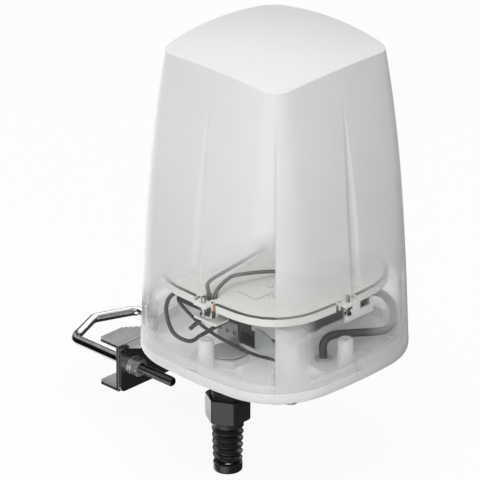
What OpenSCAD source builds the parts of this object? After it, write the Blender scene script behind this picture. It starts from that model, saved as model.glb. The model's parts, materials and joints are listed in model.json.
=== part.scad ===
// Mast-mounted router antenna in a translucent moulded housing.
// Units are millimetres, +Z is up. The origin is the centre of the
// housing's underside: the plane the lower rim stands on.
// The mast clamp is on the -X side and the cable gland hangs near the -Y side.

/* [Cover] */
// Half width across the flats of the housing at its foot
foot_half = 70.1; // [68:0.1:73]
// Half width across the flats at the shoulder below the roof
shoulder_half = 51.6; // [50:0.1:56]
// Height of the shoulder corner above the foot
shoulder_z = 192.4; // [186:0.2:200]
// Plan corner radius at the foot
foot_corner = 44; // [40:0.5:48]
// Plan corner radius at the shoulder
shoulder_corner = 13.3; // [11:0.1:18]
// Wall thickness of the moulded cover
cover_wall = 2.6; // [2.2:0.1:3]
// Depth of the groove down the middle of each side
flute_depth = 1.4; // [0.4:0.1:1.6]
// Full width of that groove near the foot
flute_width = 7; // [4:0.5:9]

/* [Base] */
// Height of the base rim, where the cover meets it
seam_z = 8; // [7:0.5:9]
// Upper surface of the base floor
floor_top = 5; // [4.5:0.5:6]
// Distance of the cover screws from each centre plane
screw_xy = 51; // [49:0.5:51.5]
// Height of the round bosses in the middle of each side
boss_top = 25; // [15:1:28]

/* [Carrier] */
// Upper surface of the ground plane
plate_top = 50.8; // [48:0.2:54]
// Half width of the carrier plate across the flats
plate_half = 58.5; // [56:0.5:60]

/* [Cable gland] */
// Distance of the gland axis from the housing centre
gland_y = 39.5; // [38:0.5:42]
// Size across flats of the gland hexagons
gland_af = 24; // [23:0.5:25]
// Nominal thread diameter of the gland
gland_thread = 20; // [19:0.5:20.5]
// Turns of the spiral bend protector
spiral_turns = 5; // [4:0.5:6]

/* [Mast clamp] */
// Distance between the two legs of the V-bolt
leg_gap = 54; // [48:1:58]
// Height of the clamp centre below the foot
clamp_drop = 34.5; // [32:0.5:36]
// Nominal thread diameter of the V-bolt
bolt_d = 6; // [5:0.5:6.5]
// Sheet thickness of the bracket and the toothed jaw
sheet = 2; // [1.5:0.1:2]
// Teeth on each flank of the jaw
teeth = 7; // [5:1:9]

/* [Hidden] */
$fn = 64;
clear = 0.05;                  // small running clearance

// Housing
foot_side = 347;               // plan radius of the bowed sides at the foot
shoulder_side = 265;           // and at the shoulder
roof_bulge = 0.00189;          // roof drop per square millimetre of radius
flute_top = 179;               // the grooves fade out here
flute_stations = [0, 1.2, 2.4, 3.5, 5];   // points across half a groove
cover_boss_z = seam_z + 3.6;   // lower end of the cover's screw bosses
screw_hole_r = 1.85;
side_boss_x = 57.6;            // round bosses, from the centre
outlet_x = 40;                 // lead outlet in the base floor

// Carrier and router levels
plate_low = plate_top - 5.4;   // lower edge of the carrier rim
deck = plate_top - 0.9;        // carrier surface below the ground plane
ground_top = deck + 0.8;
ear_hole_x = 59.5;
ear_tip_x = 63.1;
tongue_z = 37;
tray_top = deck - 2;
tray_low = 26;
board_low = tray_low + 6;      // router board
board_top = board_low + 1.6;
tray_screw = [30, 20];         // x and y of the tray pillars, mirrored

// x and y of the screws joining tray and carrier
plate_screw_points = [[-25, -27], [14.5, -19], [25, -28], [-25, 34]];
// x, y, turn and tab length of the slots for upright boards; the last stays empty
board_slots = [[-30, 28, 90, 12], [17, 26, 0, 12], [24, 4, 90, 10], [-20, -8, 0, 0.1]];

// Bracket and clamp
arm_z = -18;                   // upper face of the bracket arm
arm_low = arm_z - sheet;
arm_screw = [24, 14];          // x and y of the arm screws, mirrored
flange_x = -92;                // inner (+X) face of the bracket flange
jaw_x = flange_x - sheet;      // outer face of the flange, where the jaw rests
clamp_half = 37.2;             // half width of flange and jaw
clamp_low = -50;               // lower edge of flange and jaw
leg_y = leg_gap / 2;
bolt_r = bolt_d / 2;
gland_r = gland_thread / 2;

// Shared colours
gland_black = [0.12, 0.12, 0.13];
cream = [0.88, 0.88, 0.86];
screw_zinc = [0.75, 0.75, 0.77];
small_screw_grey = [0.72, 0.72, 0.74];
board_green = [0.12, 0.4, 0.24];
thin_lead_grey = [0.26, 0.27, 0.28];

/* ---------------- lists and placing ---------------- */
function mix(from, to, t) = from + (to - from) * t;
function unit(v) = v / norm(v);
function reversed(list) = [for (i = [len(list) - 1:-1:0]) list[i]];
function flat(lists) = [for (list = lists) for (item = list) item];
function at_z(points, z) = [for (p = points) [p[0], p[1], z]];
// the points mirrored in y, in reverse order, to close a symmetric outline
function mirrored_back(points) =
    reversed([for (p = points) [for (i = [0:len(p) - 1]) i == 1 ? -p[i] : p[i]]]);

module at_corners(x, y) {
    for (sx = [-1, 1]) for (sy = [-1, 1]) translate([sx * x, sy * y, 0]) children();
}
module on_sides() { for (turn = [0:90:270]) rotate([0, 0, turn]) children(); }
module at_points(points) { for (p = points) translate([p[0], p[1], 0]) children(); }
module along_x(x) { translate([x, 0, 0]) rotate([0, 90, 0]) children(); }
module at_gland() { translate([0, -gland_y, 0]) children(); }
// one leg of the V-bolt, side -1 or 1
module at_leg(side) { translate([0, side * leg_y, -clamp_drop]) children(); }
module at_legs() { for (side = [-1, 1]) at_leg(side) children(); }

module hex(af, h) { cylinder(d = af / cos(30), h = h, $fn = 6); }
// list of [lowest corner, size]
module boxes(list) { for (box = list) translate(box[0]) cube(box[1]); }

/* ---------------- housing outline ---------------- */
// half width, corner radius and side radius at height z
function body_half(z) = let (u = z / shoulder_z)
    foot_half - (foot_half - shoulder_half) * u * (0.7012 - 0.1401 * u + 0.4389 * u * u);
function rise(z) = min(1.02, z / shoulder_z);
function body_corner(z) = mix(foot_corner, shoulder_corner, rise(z));
function body_side(z) = mix(foot_side, shoulder_side, rise(z));
// half width and depth of the side groove at height z
function flute_w(z) = flute_width / 2 * max(0, min(1, (flute_top - z) / 110));
function flute_d(z) = flute_depth * max(0, min(1, (flute_top - z) / 90));

// The outline has four gently bowed sides of radius side, at distance half from
// the centre, and round corners. The corner arc is tangent to both sides.
function corner_centre(half, corner, side) =
    let (shift = side - half, reach = side - corner)
    (sqrt(2 * reach * reach - shift * shift) - shift) / 2;
// angle on the side arc where the corner arc takes over
function corner_angle(half, corner, side) =
    let (centre = corner_centre(half, corner, side))
    atan2(centre, centre - half + side);
function half_side(half, corner, side, groove_w, groove_d, steps) =
    let (first = asin(max(flute_stations) / side),
         last = corner_angle(half, corner, side))
    concat(
        [for (s = flute_stations) let (u = groove_w > 0 ? s / groove_w : 2)
            [half - side + sqrt(side * side - s * s) - (u < 1 ? groove_d * (1 - u * u) : 0), s]],
        [for (k = [1:steps]) let (a = mix(first, last, k / steps))
            [half - side + side * cos(a), side * sin(a)]]);
function corner_arc(half, corner, side, steps) =
    let (centre = corner_centre(half, corner, side),
         first = corner_angle(half, corner, side))
    [for (k = [1:steps - 1]) let (a = mix(first, 90 - first, k / steps))
        [centre + corner * cos(a), centre + corner * sin(a)]];
function quarter(half, corner, side, groove_w, groove_d, side_steps, corner_steps) =
    let (edge = half_side(half, corner, side, groove_w, groove_d, side_steps))
    concat(edge, corner_arc(half, corner, side, corner_steps),
        reversed([for (i = [1:len(edge) - 1]) [edge[i][1], edge[i][0]]]));
function quarter_turn(p, k) =
    k == 0 ? p : k == 1 ? [-p[1], p[0]] : k == 2 ? [-p[0], -p[1]] : [p[1], -p[0]];
// side_steps: steps along half a side, corner_steps: steps round a corner
function outline(half, corner, side, groove_w = 0, groove_d = 0,
                 side_steps = 4, corner_steps = 6) =
    let (points = quarter(half, corner, side, groove_w, groove_d, side_steps, corner_steps))
    [for (k = [0:3]) for (p = points) quarter_turn(p, k)];
function body_outline(z, inset = 0, groove_w = 0, groove_d = 0,
                      side_steps = 4, corner_steps = 6) =
    outline(body_half(z) - inset, max(2, body_corner(z) - inset), body_side(z) - inset,
        groove_w, groove_d, side_steps, corner_steps);
function rim_outline(z, inset) = body_outline(z, inset, side_steps = 3, corner_steps = 5);

/* ---------------- swept shapes ---------------- */
// side faces between stacked rings of n points
function skin(rings, n, flip = false) =
    [for (j = [0:rings - 2]) for (i = [0:n - 1])
        let (k = (i + 1) % n, face = [j * n + i, j * n + k, (j + 1) * n + k, (j + 1) * n + i])
        flip ? face : reversed(face)];

// A closed band round the body; profile is a loop of [z, inset]
module band(profile) {
    rings = [for (p = profile) at_z(rim_outline(p[0], p[1]), p[0])];
    n = len(rings[0]);
    total = n * len(rings);
    // the last ring joins the first again
    polyhedron(flat(rings),
        [for (face = skin(len(rings) + 1, n)) [for (index = face) index % total]]);
}

// Smooth curve through the way points, with the given steps in each span
function spline(points, steps) =
    let (last = len(points) - 1,
         q = concat([2 * points[0] - points[1]], points, [2 * points[last] - points[last - 1]]))
    concat([for (i = [1:len(q) - 3]) for (k = [0:steps - 1]) let (t = k / steps)
        0.5 * (2 * q[i] + (q[i + 1] - q[i - 1]) * t
            + (2 * q[i - 1] - 5 * q[i] + 4 * q[i + 1] - q[i + 2]) * t * t
            + (3 * q[i] - q[i - 1] - 3 * q[i + 1] + q[i + 2]) * t * t * t)], [points[last]]);
function tangent(path, i) = unit(path[min(i + 1, len(path) - 1)] - path[max(i - 1, 0)]);
// the part of v square to the direction, at unit length
function across(v, direction) = unit(v - (v * direction) * direction);

// Round rod along a path; its cross section is carried along without twist
module rod(path, r, sides = 12) {
    n = len(path);
    start = tangent(path, 0);
    first = across(abs(start[2]) < 0.9 ? [0, 0, 1] : [1, 0, 0], start);
    normals = [for (i = 0, v = first; i < n;
        i = i + 1, v = i < n ? across(v, tangent(path, i)) : v) v];
    points = [for (i = [0:n - 1]) let (v = normals[i], w = cross(tangent(path, i), v))
        for (k = [0:sides - 1]) let (a = 360 * k / sides)
            path[i] + r * (cos(a) * v + sin(a) * w)];
    polyhedron(points, concat(skin(n, sides),
        [[for (k = [0:sides - 1]) k]],
        [[for (k = [sides - 1:-1:0]) (n - 1) * sides + k]]));
}

/* ---------------- cover ---------------- */
function plan_radius(p) = norm([p[0], p[1]]);
roof_reach = max([for (p = body_outline(shoulder_z)) plan_radius(p)]);
// height of a domed surface whose farthest corners lie at base_z
function roof_z(base_z, radius) =
    base_z + roof_bulge * (roof_reach * roof_reach - radius * radius);
// a ring shrunk towards the axis and laid on the dome
function dome_ring(ring, factor, base_z) =
    [for (p = ring) [p[0] * factor, p[1] * factor, roof_z(base_z, factor * plan_radius(p))]];

module cover_shell() {
    outer_z = [seam_z + clear, 16, 32, 52, 76, 100, 122, 142, 158, 170, flute_top, 186];
    inner_z = [seam_z + clear, 40, 76, 110, 142, 166, 182];
    ceiling_z = shoulder_z - cover_wall;
    ceiling_base = ceiling_z - 0.6;
    shoulder = body_outline(shoulder_z);
    n = len(shoulder);
    // upper edge of the walls, following the bulge of the roof
    crown = [for (i = [0:n - 1])
        let (z = roof_z(shoulder_z, plan_radius(shoulder[i])), p = body_outline(z)[i])
        [p[0], p[1], z]];
    inner_crown = dome_ring(body_outline(ceiling_z, cover_wall), 1, ceiling_base);
    outer = concat(
        [for (z = outer_z) at_z(body_outline(z, 0, flute_w(z), flute_d(z)), z)],
        [crown],
        [for (f = [0.8, 0.6, 0.4, 0.2]) dome_ring(crown, f, shoulder_z)]);
    inner = concat(
        [for (z = inner_z) at_z(body_outline(z, cover_wall), z)],
        [inner_crown],
        [for (f = [0.75, 0.5, 0.25]) dome_ring(inner_crown, f, ceiling_base)]);
    inner_start = len(outer) * n;
    outer_tip = inner_start + len(inner) * n;
    inner_tip = outer_tip + 1;
    outer_last = inner_start - n;
    inner_last = outer_tip - n;
    points = concat(flat(outer), flat(inner),
        [[0, 0, roof_z(shoulder_z, 0)], [0, 0, roof_z(ceiling_base, 0)]]);
    polyhedron(points, concat(
        skin(len(outer), n),
        [for (face = skin(len(inner), n, true)) [for (index = face) index + inner_start]],
        // both roof centres and the lower edge
        [for (i = [0:n - 1]) let (k = (i + 1) % n) each [
            [outer_last + i, outer_tip, outer_last + k],
            [inner_last + k, inner_tip, inner_last + i],
            [i, k, inner_start + k, inner_start + i]]]));
}
// Cover, with a screw boss tied into each corner
module cover() {
    color([0.93, 0.94, 0.94, 0.55]) difference() {
        union() {
            cover_shell();
            at_corners(screw_xy, screw_xy)
                translate([0, 0, cover_boss_z]) cylinder(r = 3.4, h = 18);
            for (turn = [45:90:315]) rotate([0, 0, turn])
                translate([screw_xy * sqrt(2) + 2.6, -0.9, cover_boss_z + 0.4])
                    cube([2.4, 1.8, 15]);
        }
        at_corners(screw_xy, screw_xy)
            translate([0, 0, cover_boss_z - 1]) cylinder(r = screw_hole_r, h = 10);
    }
}

/* ---------------- base ---------------- */
// Rounded foot, gasket groove and the lip inside the cover, as [z, inset]
rim_profile = [
    [0, 4.2], [0.6, 2.1], [1.8, 0.75], [3.4, 0.1], [4.6, 0], [seam_z, 0],
    [seam_z, 0.5], [seam_z - 1, 0.5], [seam_z - 1, 1.9], [seam_z, 1.9],
    [seam_z, 3.0], [seam_z + 3.4, 3.1], [seam_z + 3.4, 5.0],
    [floor_top - 1.6, 5.4], [1.4, 6], [0, 6.4]];

module base_floor() {
    floor_inset = 4.4;
    floor_low = 2.2;
    translate([0, 0, floor_low]) linear_extrude(floor_top - floor_low)
        polygon(outline(foot_half - floor_inset, foot_corner - floor_inset, foot_side,
            side_steps = 2, corner_steps = 4));
}
module base_bosses() {
    // cover screw seats
    at_corners(screw_xy, screw_xy) {
        cylinder(r = 5.4, h = seam_z - 1.2);
        cylinder(r = 3.9, h = seam_z + 3.4);
    }
    // round bosses in the middle of each side
    on_sides() translate([side_boss_x, 0, floor_top - 1])
        cylinder(d = 9.2, h = boss_top - floor_top + 1);
    // pillars under the router tray
    at_corners(tray_screw[0], tray_screw[1])
        translate([0, 0, floor_top - 1]) cylinder(d = 12, h = 22);
    // gland seat, and feet for the bracket arm
    at_gland() cylinder(r = 15.4, h = floor_top);
    at_corners(arm_screw[0], arm_screw[1])
        translate([0, 0, arm_z]) cylinder(d = 11, h = floor_top - arm_z - 0.5);
}
module base_ribs() {
    rib = 1.6;
    rib_z = floor_top - 1;
    on_sides() {
        for (y = [-17, 15.4]) translate([44, y, rib_z]) cube([20, rib, 5]);
        rotate([0, 0, 45]) translate([45, -rib / 2, rib_z]) cube([23, rib, 4.6]);
    }
    // frame under the floor
    for (y = [-15, 13]) translate([-30, y, -6]) cube([60, 2, 9]);
    for (x = [-25, 23]) translate([x, -15, -6]) cube([2, 30, 9]);
}
module base() {
    color([0.9, 0.91, 0.9]) difference() {
        union() {
            band(rim_profile);
            base_floor();
            base_bosses();
            base_ribs();
        }
        at_corners(screw_xy, screw_xy) translate([0, 0, -1]) {
            cylinder(r = screw_hole_r, h = 20);
            cylinder(r = 3.5, h = 3.4);
        }
        at_gland() translate([0, 0, -1]) cylinder(r = gland_r + 0.2, h = 20);
        on_sides() translate([side_boss_x, 0, floor_top + 4]) cylinder(r = 1.5, h = 30);
        at_corners(arm_screw[0], arm_screw[1])
            translate([0, 0, arm_z - 1]) cylinder(r = 2.05, h = 13);
        at_corners(tray_screw[0], tray_screw[1])
            translate([0, 0, floor_top + 8]) cylinder(r = 1.55, h = 20);
        // lead outlet in the floor
        translate([outlet_x, 0, -1]) cylinder(r = 4.2, h = 10);
    }
}
module base_gasket() {
    color([0.25, 0.25, 0.26])
        translate([0, 0, seam_z - 1]) linear_extrude(1) difference() {
            polygon(rim_outline(seam_z, 0.62));
            polygon(rim_outline(seam_z, 1.72));
        }
}
module cover_screws() {
    color(screw_zinc) at_corners(screw_xy, screw_xy) difference() {
        union() {
            translate([0, 0, 0.3]) cylinder(r = 3.2, h = 2.1);
            translate([0, 0, 2.3]) cylinder(r = 1.75, h = 15.7);
        }
        translate([0, 0, 0.2]) cylinder(d = 2.6, h = 1.6, $fn = 6);
    }
}
module lead_grommet() {
    color([0.2, 0.2, 0.21]) translate([outlet_x, 0, 0]) difference() {
        union() {
            translate([0, 0, 1]) cylinder(r = 4.15, h = 6);
            translate([0, 0, floor_top]) cylinder(r = 5.4, h = 1.6);
        }
        translate([0, 0, 2.4]) cylinder(r = 2.6, h = 10);
    }
}

/* ---------------- carrier ---------------- */
module carrier_plan(inset = 0) {
    polygon(outline(plate_half - inset, 35 - inset, 300 - inset, side_steps = 3));
}
// Screw holes, lead hole and board slots through carrier and ground plane
module deck_holes(screw_z, slot_z) {
    at_points(plate_screw_points) translate([0, 0, screw_z]) cylinder(r = 1.35, h = 8);
    translate([-0.7, -52.1, deck - 6]) cylinder(r = 4.6, h = 12);
    for (slot = board_slots) translate([slot[0], slot[1], slot_z]) rotate([0, 0, slot[2]])
        cube([slot[3] + 0.3, 2.0, 6], center = true);
}
module carrier_solid() {
    ear_x = plate_half - 8;
    translate([0, 0, plate_low]) linear_extrude(plate_top + 0.3 - plate_low) difference() {
        carrier_plan(0);
        carrier_plan(1.5);
    }
    translate([0, 0, deck - 2]) linear_extrude(2) carrier_plan(1);
    // an ear in the middle of each side
    on_sides() translate([ear_x, -5, deck - 2]) cube([ear_tip_x - ear_x, 10, 2]);
    // low tongue near the -Y edge, hung from two cheeks
    translate([-8, -59.4, tongue_z]) cube([18, 13.4, 1.5]);
    for (x = [-8, 8.5]) translate([x, -50, tongue_z]) cube([1.5, 4, deck - 1 - tongue_z]);
}
module carrier_plate() {
    cut_x = plate_half - 2.4;
    color([0.92, 0.92, 0.89]) difference() {
        carrier_solid();
        translate([-0.7, -52.3, tongue_z - 2]) cylinder(r = 4.4, h = 5);
        on_sides() {
            // notches on both sides of the ear
            for (y = [5.6, -8.6]) translate([plate_half - 6, y, plate_low - 1]) cube([12, 3, 8]);
            translate([ear_hole_x, 0, plate_low - 1]) cylinder(r = 1.35, h = 12);
            // rim cleared above and below the ear
            translate([cut_x, -5, deck]) cube([6, 10, 4]);
            translate([cut_x, -5, plate_low - 0.5]) cube([6, 10, deck - 2 - plate_low + 0.5]);
        }
        deck_holes(screw_z = deck - 5, slot_z = deck - 2.5);
    }
}
module ground_plane() {
    cut_z = deck - 1;
    color([0.95, 0.95, 0.92]) difference() {
        translate([0, 0, deck]) linear_extrude(0.8) carrier_plan(2.3);
        deck_holes(screw_z = cut_z, slot_z = deck);
        on_sides() translate([plate_half - 2.6, -5.2, cut_z]) cube([8, 10.4, 4]);
        // narrow slots, two of them beside a quarter bend
        boxes([
            [[5, -37.4, cut_z], [13, 0.8, 4]],
            [[20.6, -35, cut_z], [0.8, 12, 4]],
            [[-31, -5, cut_z], [17.4, 0.8, 4]]]);
        translate([18, -34.6, cut_z]) intersection() {
            difference() {
                cylinder(r = 3.2, h = 4);
                translate([0, 0, -1]) cylinder(r = 2.4, h = 6);
            }
            translate([0, -4, 0]) cube([4, 4, 4]);
        }
    }
}
// Pins through the ears, each with a sleeve below the ear
module plate_pins() {
    color([0.8, 0.8, 0.82]) on_sides() translate([ear_hole_x, 0, 0]) {
        translate([0, 0, 42]) cylinder(r = 1.3, h = 11.5);
        translate([0, 0, 41.2]) cylinder(r = 2.1, h = 1.5);
        translate([0, 0, plate_low + 0.2]) difference() {
            cylinder(r = 2.6, h = deck - 2.2 - plate_low);
            translate([0, 0, -1]) cylinder(r = 1.2, h = 9);
        }
    }
}
module plate_screws() {
    color(small_screw_grey) at_points(plate_screw_points) difference() {
        union() {
            translate([0, 0, tray_top - 4]) cylinder(r = 1.25, h = deck + 1 - tray_top + 4);
            translate([0, 0, ground_top]) cylinder(r = 2.2, h = 1.4);
        }
        translate([0, 0, deck + 1.6]) cylinder(d = 1.8, h = 2, $fn = 6);
    }
}

/* ---------------- router ---------------- */
tray_min = [-38, -31.6];
tray_max = [45, 37];
tray_wall = 1.6;

module tray_solid() {
    size = tray_max - tray_min;
    height = tray_top - tray_low;
    boxes([
        // floor, then the walls at -X, +X, +Y and the low one at -Y
        [[tray_min[0], tray_min[1], tray_low], [size[0], size[1], 2]],
        [[tray_min[0], tray_min[1], tray_low], [tray_wall, size[1], height]],
        [[tray_max[0] - tray_wall, tray_min[1], tray_low], [tray_wall, size[1], height]],
        [[tray_min[0], tray_max[1] - tray_wall, tray_low], [size[0], tray_wall, height]],
        [[tray_min[0], tray_min[1], tray_low], [size[0], tray_wall, 8]],
        // rail along the +X wall, with two small blocks below it
        [[44, -25.4, tray_top - 7], [5, 50.8, 7]],
        [[44, -25.4, tray_top - 9], [3, 3, 3]],
        [[44, 4, tray_top - 9], [3, 3, 3]]]);
    at_points(plate_screw_points) translate([0, 0, tray_low]) cylinder(r = 3.2, h = height);
}
module router_tray() {
    color([0.3, 0.31, 0.33]) difference() {
        tray_solid();
        at_points(plate_screw_points) translate([0, 0, tray_top - 8]) cylinder(r = 1.3, h = 12);
        at_corners(tray_screw[0], tray_screw[1])
            translate([0, 0, tray_low - 1]) cylinder(r = 1.6, h = 8);
        // lead outlets in the -X and +X walls
        boxes([
            [[-39, -10, tray_low + 9], [4, 14, 9]],
            [[42, 26, tray_low + 5], [4, 9, 12]]]);
    }
}
module router_board() {
    color([0.1, 0.32, 0.2]) difference() {
        translate([-35.6, -26.6, board_low]) cube([78, 61, 1.6]);
        at_points(plate_screw_points) translate([0, 0, tray_low]) cylinder(r = 3.4, h = 22);
        at_corners(tray_screw[0], tray_screw[1])
            translate([0, 0, tray_low + 1]) cylinder(r = 1.6, h = 12);
    }
}
module board_spacers() {
    color([0.8, 0.68, 0.35]) at_corners(tray_screw[0], tray_screw[1]) difference() {
        translate([0, 0, tray_low + 2]) cylinder(r = 2.6, h = 4);
        translate([0, 0, tray_low + 1]) cylinder(r = 1.6, h = 9);
    }
}
module board_screws() {
    tip_z = floor_top + 12;
    color(small_screw_grey) at_corners(tray_screw[0], tray_screw[1]) {
        translate([0, 0, tip_z]) cylinder(r = 1.5, h = board_top + 0.2 - tip_z);
        translate([0, 0, board_top]) cylinder(r = 2.7, h = 1.8);
    }
}
module radio_module() {
    color([0.75, 0.76, 0.78]) boxes([
        [[-14, -10, board_top], [30, 34, 3.2]],
        [[-32, 2, board_top], [14, 14, 1.6]]]);
}
// Box under the tray, with a pocket in its -Y face
module modem_box() {
    color([0.09, 0.09, 0.1]) difference() {
        translate([1, -31, 14]) cube([14.5, 21, tray_low - 14]);
        translate([3, -32, 15.6]) cube([10.5, 8, 6.6]);
    }
}
// Box under the tray, with three round holes in its -Y face
module filter_box() {
    color([0.5, 0.51, 0.52]) difference() {
        translate([-17, -31, 11.5]) cube([17, 15, tray_low - 11.5]);
        for (x = [-14.4, -8.6, -2.8])
            translate([x, -30.2, 19]) rotate([90, 0, 0]) cylinder(r = 1.4, h = 3);
    }
}
module antenna_sockets() {
    color([0.85, 0.7, 0.38]) for (x = [-15, -7, 1]) translate([x, -21, board_top]) {
        translate([-2.5, -2.5, 0]) cube([5, 5, 2]);
        translate([0, 0, 2]) cylinder(r = 1.8, h = 3);
    }
}
// Clear flap with a rounded upper corner, on the -Y side of the tray
module service_flap() {
    color([0.75, 0.78, 0.8, 0.5])
        translate([0, tray_min[1], 0]) rotate([90, 0, 0]) linear_extrude(1.4)
            polygon(concat(
                [[15.8, 14], [15.8, 28.5], [22, 28.5]],
                [for (a = [80:-10:0]) [22 + 10.6 * cos(a), 16 + 12 * sin(a)]],
                [[32, 14.4]]));
}

// Black flexible antenna strips inside the -Y edge of the carrier
module at_turned_strip(z) { translate([25, -54.6, z]) rotate([0, 0, 5.4]) children(); }
module flex_strips() {
    color([0.07, 0.07, 0.08]) {
        translate([-25, -55.7, 40.8]) cube([21, 0.5, 6.9]);
        at_turned_strip(44.6) cube([17, 0.5, 6.2], center = true);
    }
}
// Copper contacts: one on the turned strip, one beside the centre
module strip_contacts() {
    color([0.83, 0.5, 0.28]) {
        at_turned_strip(43.6) translate([-10.4, 0, 0]) cube([1.8, 0.6, 3], center = true);
        translate([5.66, -57.4, 44.6]) cube([0.6, 2, 4.8]);
    }
}

/* ---------------- antennas ---------------- */
upright_wall = 1.6;   // thickness of the upright boards
foil = 0.3;           // thickness of the radiators

// Upright board with a tab down into its slot
module upright(slot, width, height) {
    translate([slot[0], slot[1], ground_top]) rotate([0, 0, slot[2]]) boxes([
        [[-width / 2, -upright_wall / 2, 0], [width, upright_wall, height]],
        [[-slot[3] / 2, -upright_wall / 2, -2.6], [slot[3], upright_wall, 4]]]);
}
module antenna_board_a() { color(board_green) upright(board_slots[0], 34, 112); }
module antenna_board_b() { color(board_green) upright(board_slots[1], 44, 112); }
module antenna_board_c() { color(board_green) upright(board_slots[2], 22, 46); }
// Copper sheets on the +X, -Y and +X faces of boards a, b and c
module radiators() {
    face_a = board_slots[0][0] + upright_wall / 2;
    face_b = board_slots[1][1] - upright_wall / 2 - foil;
    face_c = board_slots[2][0] + upright_wall / 2;
    color([0.83, 0.55, 0.33]) translate([0, 0, deck]) boxes([
        [[face_a, 13, 8], [foil, 30, 30]],
        [[face_a, 19, 46], [foil, 18, 60]],
        [[-3, face_b, 8], [40, foil, 28]],
        [[8, face_b, 44], [18, foil, 62]],
        [[face_c, -5, 8], [foil, 18, 34]]]);
}
module satnav_patch() {
    color([0.8, 0.74, 0.6]) difference() {
        translate([-8, 36, ground_top]) cube([25, 18, 4.2]);
        translate([4.5, 45, deck + 4.4]) cylinder(r = 1, h = 3);
    }
}

/* ---------------- leads ---------------- */
// Way points [x, y, z] along the centre line of each lead
network_path = [
    [40, 0, 2.4], [40, 0, 5], [40, 0, 8], [38.6, 1.6, 15], [40.6, 7.3, 18.8],
    [49, 20.2, 18.8], [54.6, 28, 18.6], [57.6, 35.4, 18.9], [56, 43, 22.4],
    [56, 40.4, 33], [55, 34.4, 41], [50, 31.6, 42], [44, 30.6, 38.4],
    [40, 30, 36.9], [38, 30, 36.8]];
antenna_paths = [
    [[-3, -52.4, 37.2], [-2.8, -52.2, 44], [-2.6, -52, 50.4], [-5.7, -49.7, 57],
     [-7.9, -34.5, 58], [-13.4, -11.3, 56], [-20.7, 11.2, 54], [-26, 18, 53]],
    [[1.4, -52.6, 37.2], [1.6, -52.4, 44], [1.8, -52.2, 49], [0.3, -48.4, 54],
     [-1.1, -38.3, 57], [-0.9, -29.9, 57], [6.5, -7.9, 54], [22.6, 3.4, 53]]];
loop_path = [
    [-31.5, -49, 43], [-31.8, -56.6, 40], [-32.9, -57.2, 30], [-29.2, -55, 18],
    [-23.1, -48.1, 12.4], [-18.7, -42.3, 16], [-13, -37.9, 21], [-8.2, -35, 25],
    [-4.6, -33.1, 27.8]];
cross_path = [
    [-24.5, -46.5, 43], [-26.4, -54, 41], [-15.7, -52.4, 32], [-6.7, -47.2, 24],
    [1.8, -41.3, 18], [14, -33, 11.6], [22, -29.6, 10.6], [29.5, -27.4, 10.6]];
stub_path = [[-11.8, -45.2, 35.4], [-14.6, -48, 29.1], [-19.1, -51.5, 23.1]];

module network_lead() { color([0.28, 0.29, 0.3]) rod(spline(network_path, 5), 2.4); }
module network_plug() {
    color(gland_black) difference() {
        translate([28, 25, board_top + 0.05]) cube([11, 10, 6.6]);
        translate([37.2, 30, 36.8]) rotate([0, 90, 0]) cylinder(r = 2.6, h = 9);
    }
}
module antenna_leads() {
    color([0.3, 0.31, 0.32]) for (path = antenna_paths) rod(spline(path, 4), 1.1, 10);
}
module loop_lead() { color(thin_lead_grey) rod(spline(loop_path, 5), 1.25, 10); }
module cross_lead() { color(thin_lead_grey) rod(spline(cross_path, 5), 1.0, 10); }
module stub_lead() { color([0.16, 0.16, 0.17]) rod(spline(stub_path, 4), 1.3); }

/* ---------------- cable gland ---------------- */
sleeve_r = 5.2;    // bore of the pressure nut and bend protector
nut_bore_r = 9.62;

module gland_body() {
    color(gland_black) at_gland() difference() {
        union() {
            cylinder(r = gland_r - 0.05, h = 10.8);
            translate([0, 0, -8]) rotate([0, 0, 30]) hex(gland_af, 6);
            translate([0, 0, -2.05]) cylinder(r = gland_r - 0.05, h = 3);
            translate([0, 0, -20.5]) cylinder(r = 9.5, h = 13);
        }
        translate([0, 0, -30]) cylinder(r = 6.6, h = 60);
    }
}
module gland_ring() {
    color([0.2, 0.2, 0.21]) at_gland() translate([0, 0, -2]) difference() {
        cylinder(r = 13, h = 2);
        translate([0, 0, -1]) cylinder(r = gland_r, h = 4);
    }
}
module gland_locknut() {
    color(cream) at_gland() translate([0, 0, floor_top]) difference() {
        rotate([0, 0, 30]) hex(gland_af - 1.5, 5);
        translate([0, 0, -1]) cylinder(r = gland_r, h = 8);
    }
}
// Push-in dust cap over the upper end of the gland
module gland_cap() {
    color(cream) at_gland() {
        translate([0, 0, 10.85]) cylinder(r = 10.9, h = 0.3);
        translate([0, 0, 11.1]) cylinder(r1 = 10.9, r2 = 10.6, h = 0.25);
        translate([0, 0, 5.6]) difference() {
            cylinder(r = 6.45, h = 5.5);
            translate([0, 0, -1]) cylinder(r = 5.2, h = 6.2);
        }
    }
}
module gland_seal() {
    color([0.15, 0.15, 0.15]) at_gland() difference() {
        translate([0, 0, -27.5]) cylinder(r = 6.55, h = 12.5);
        translate([0, 0, -30]) cylinder(r = 4.5, h = 20);
    }
}
// Coil going down from z0 to z1, its outer radius passing from r0 to r1
module spiral_coil(z0, z1, r0, r1, turns) {
    inner_r = 5.6;
    steps = 24 * turns;
    points = [for (i = [0:steps])
        let (t = i / steps, a = 360 * turns * t, z = mix(z0, z1, t), r = mix(r0, r1, t))
        // cross section as [radius, height]
        for (q = [[inner_r, 1.35], [r - 0.9, 1.35], [r, 0.75],
                  [r - 0.2, -0.9], [r - 1.6, -1.35], [inner_r, -1.35]])
            [q[0] * cos(a), q[0] * sin(a), z + q[1]]];
    polyhedron(points, concat(skin(steps + 1, 6),
        [[0, 1, 2, 3, 4, 5]], [[for (k = [5:-1:0]) steps * 6 + k]]));
}
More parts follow.
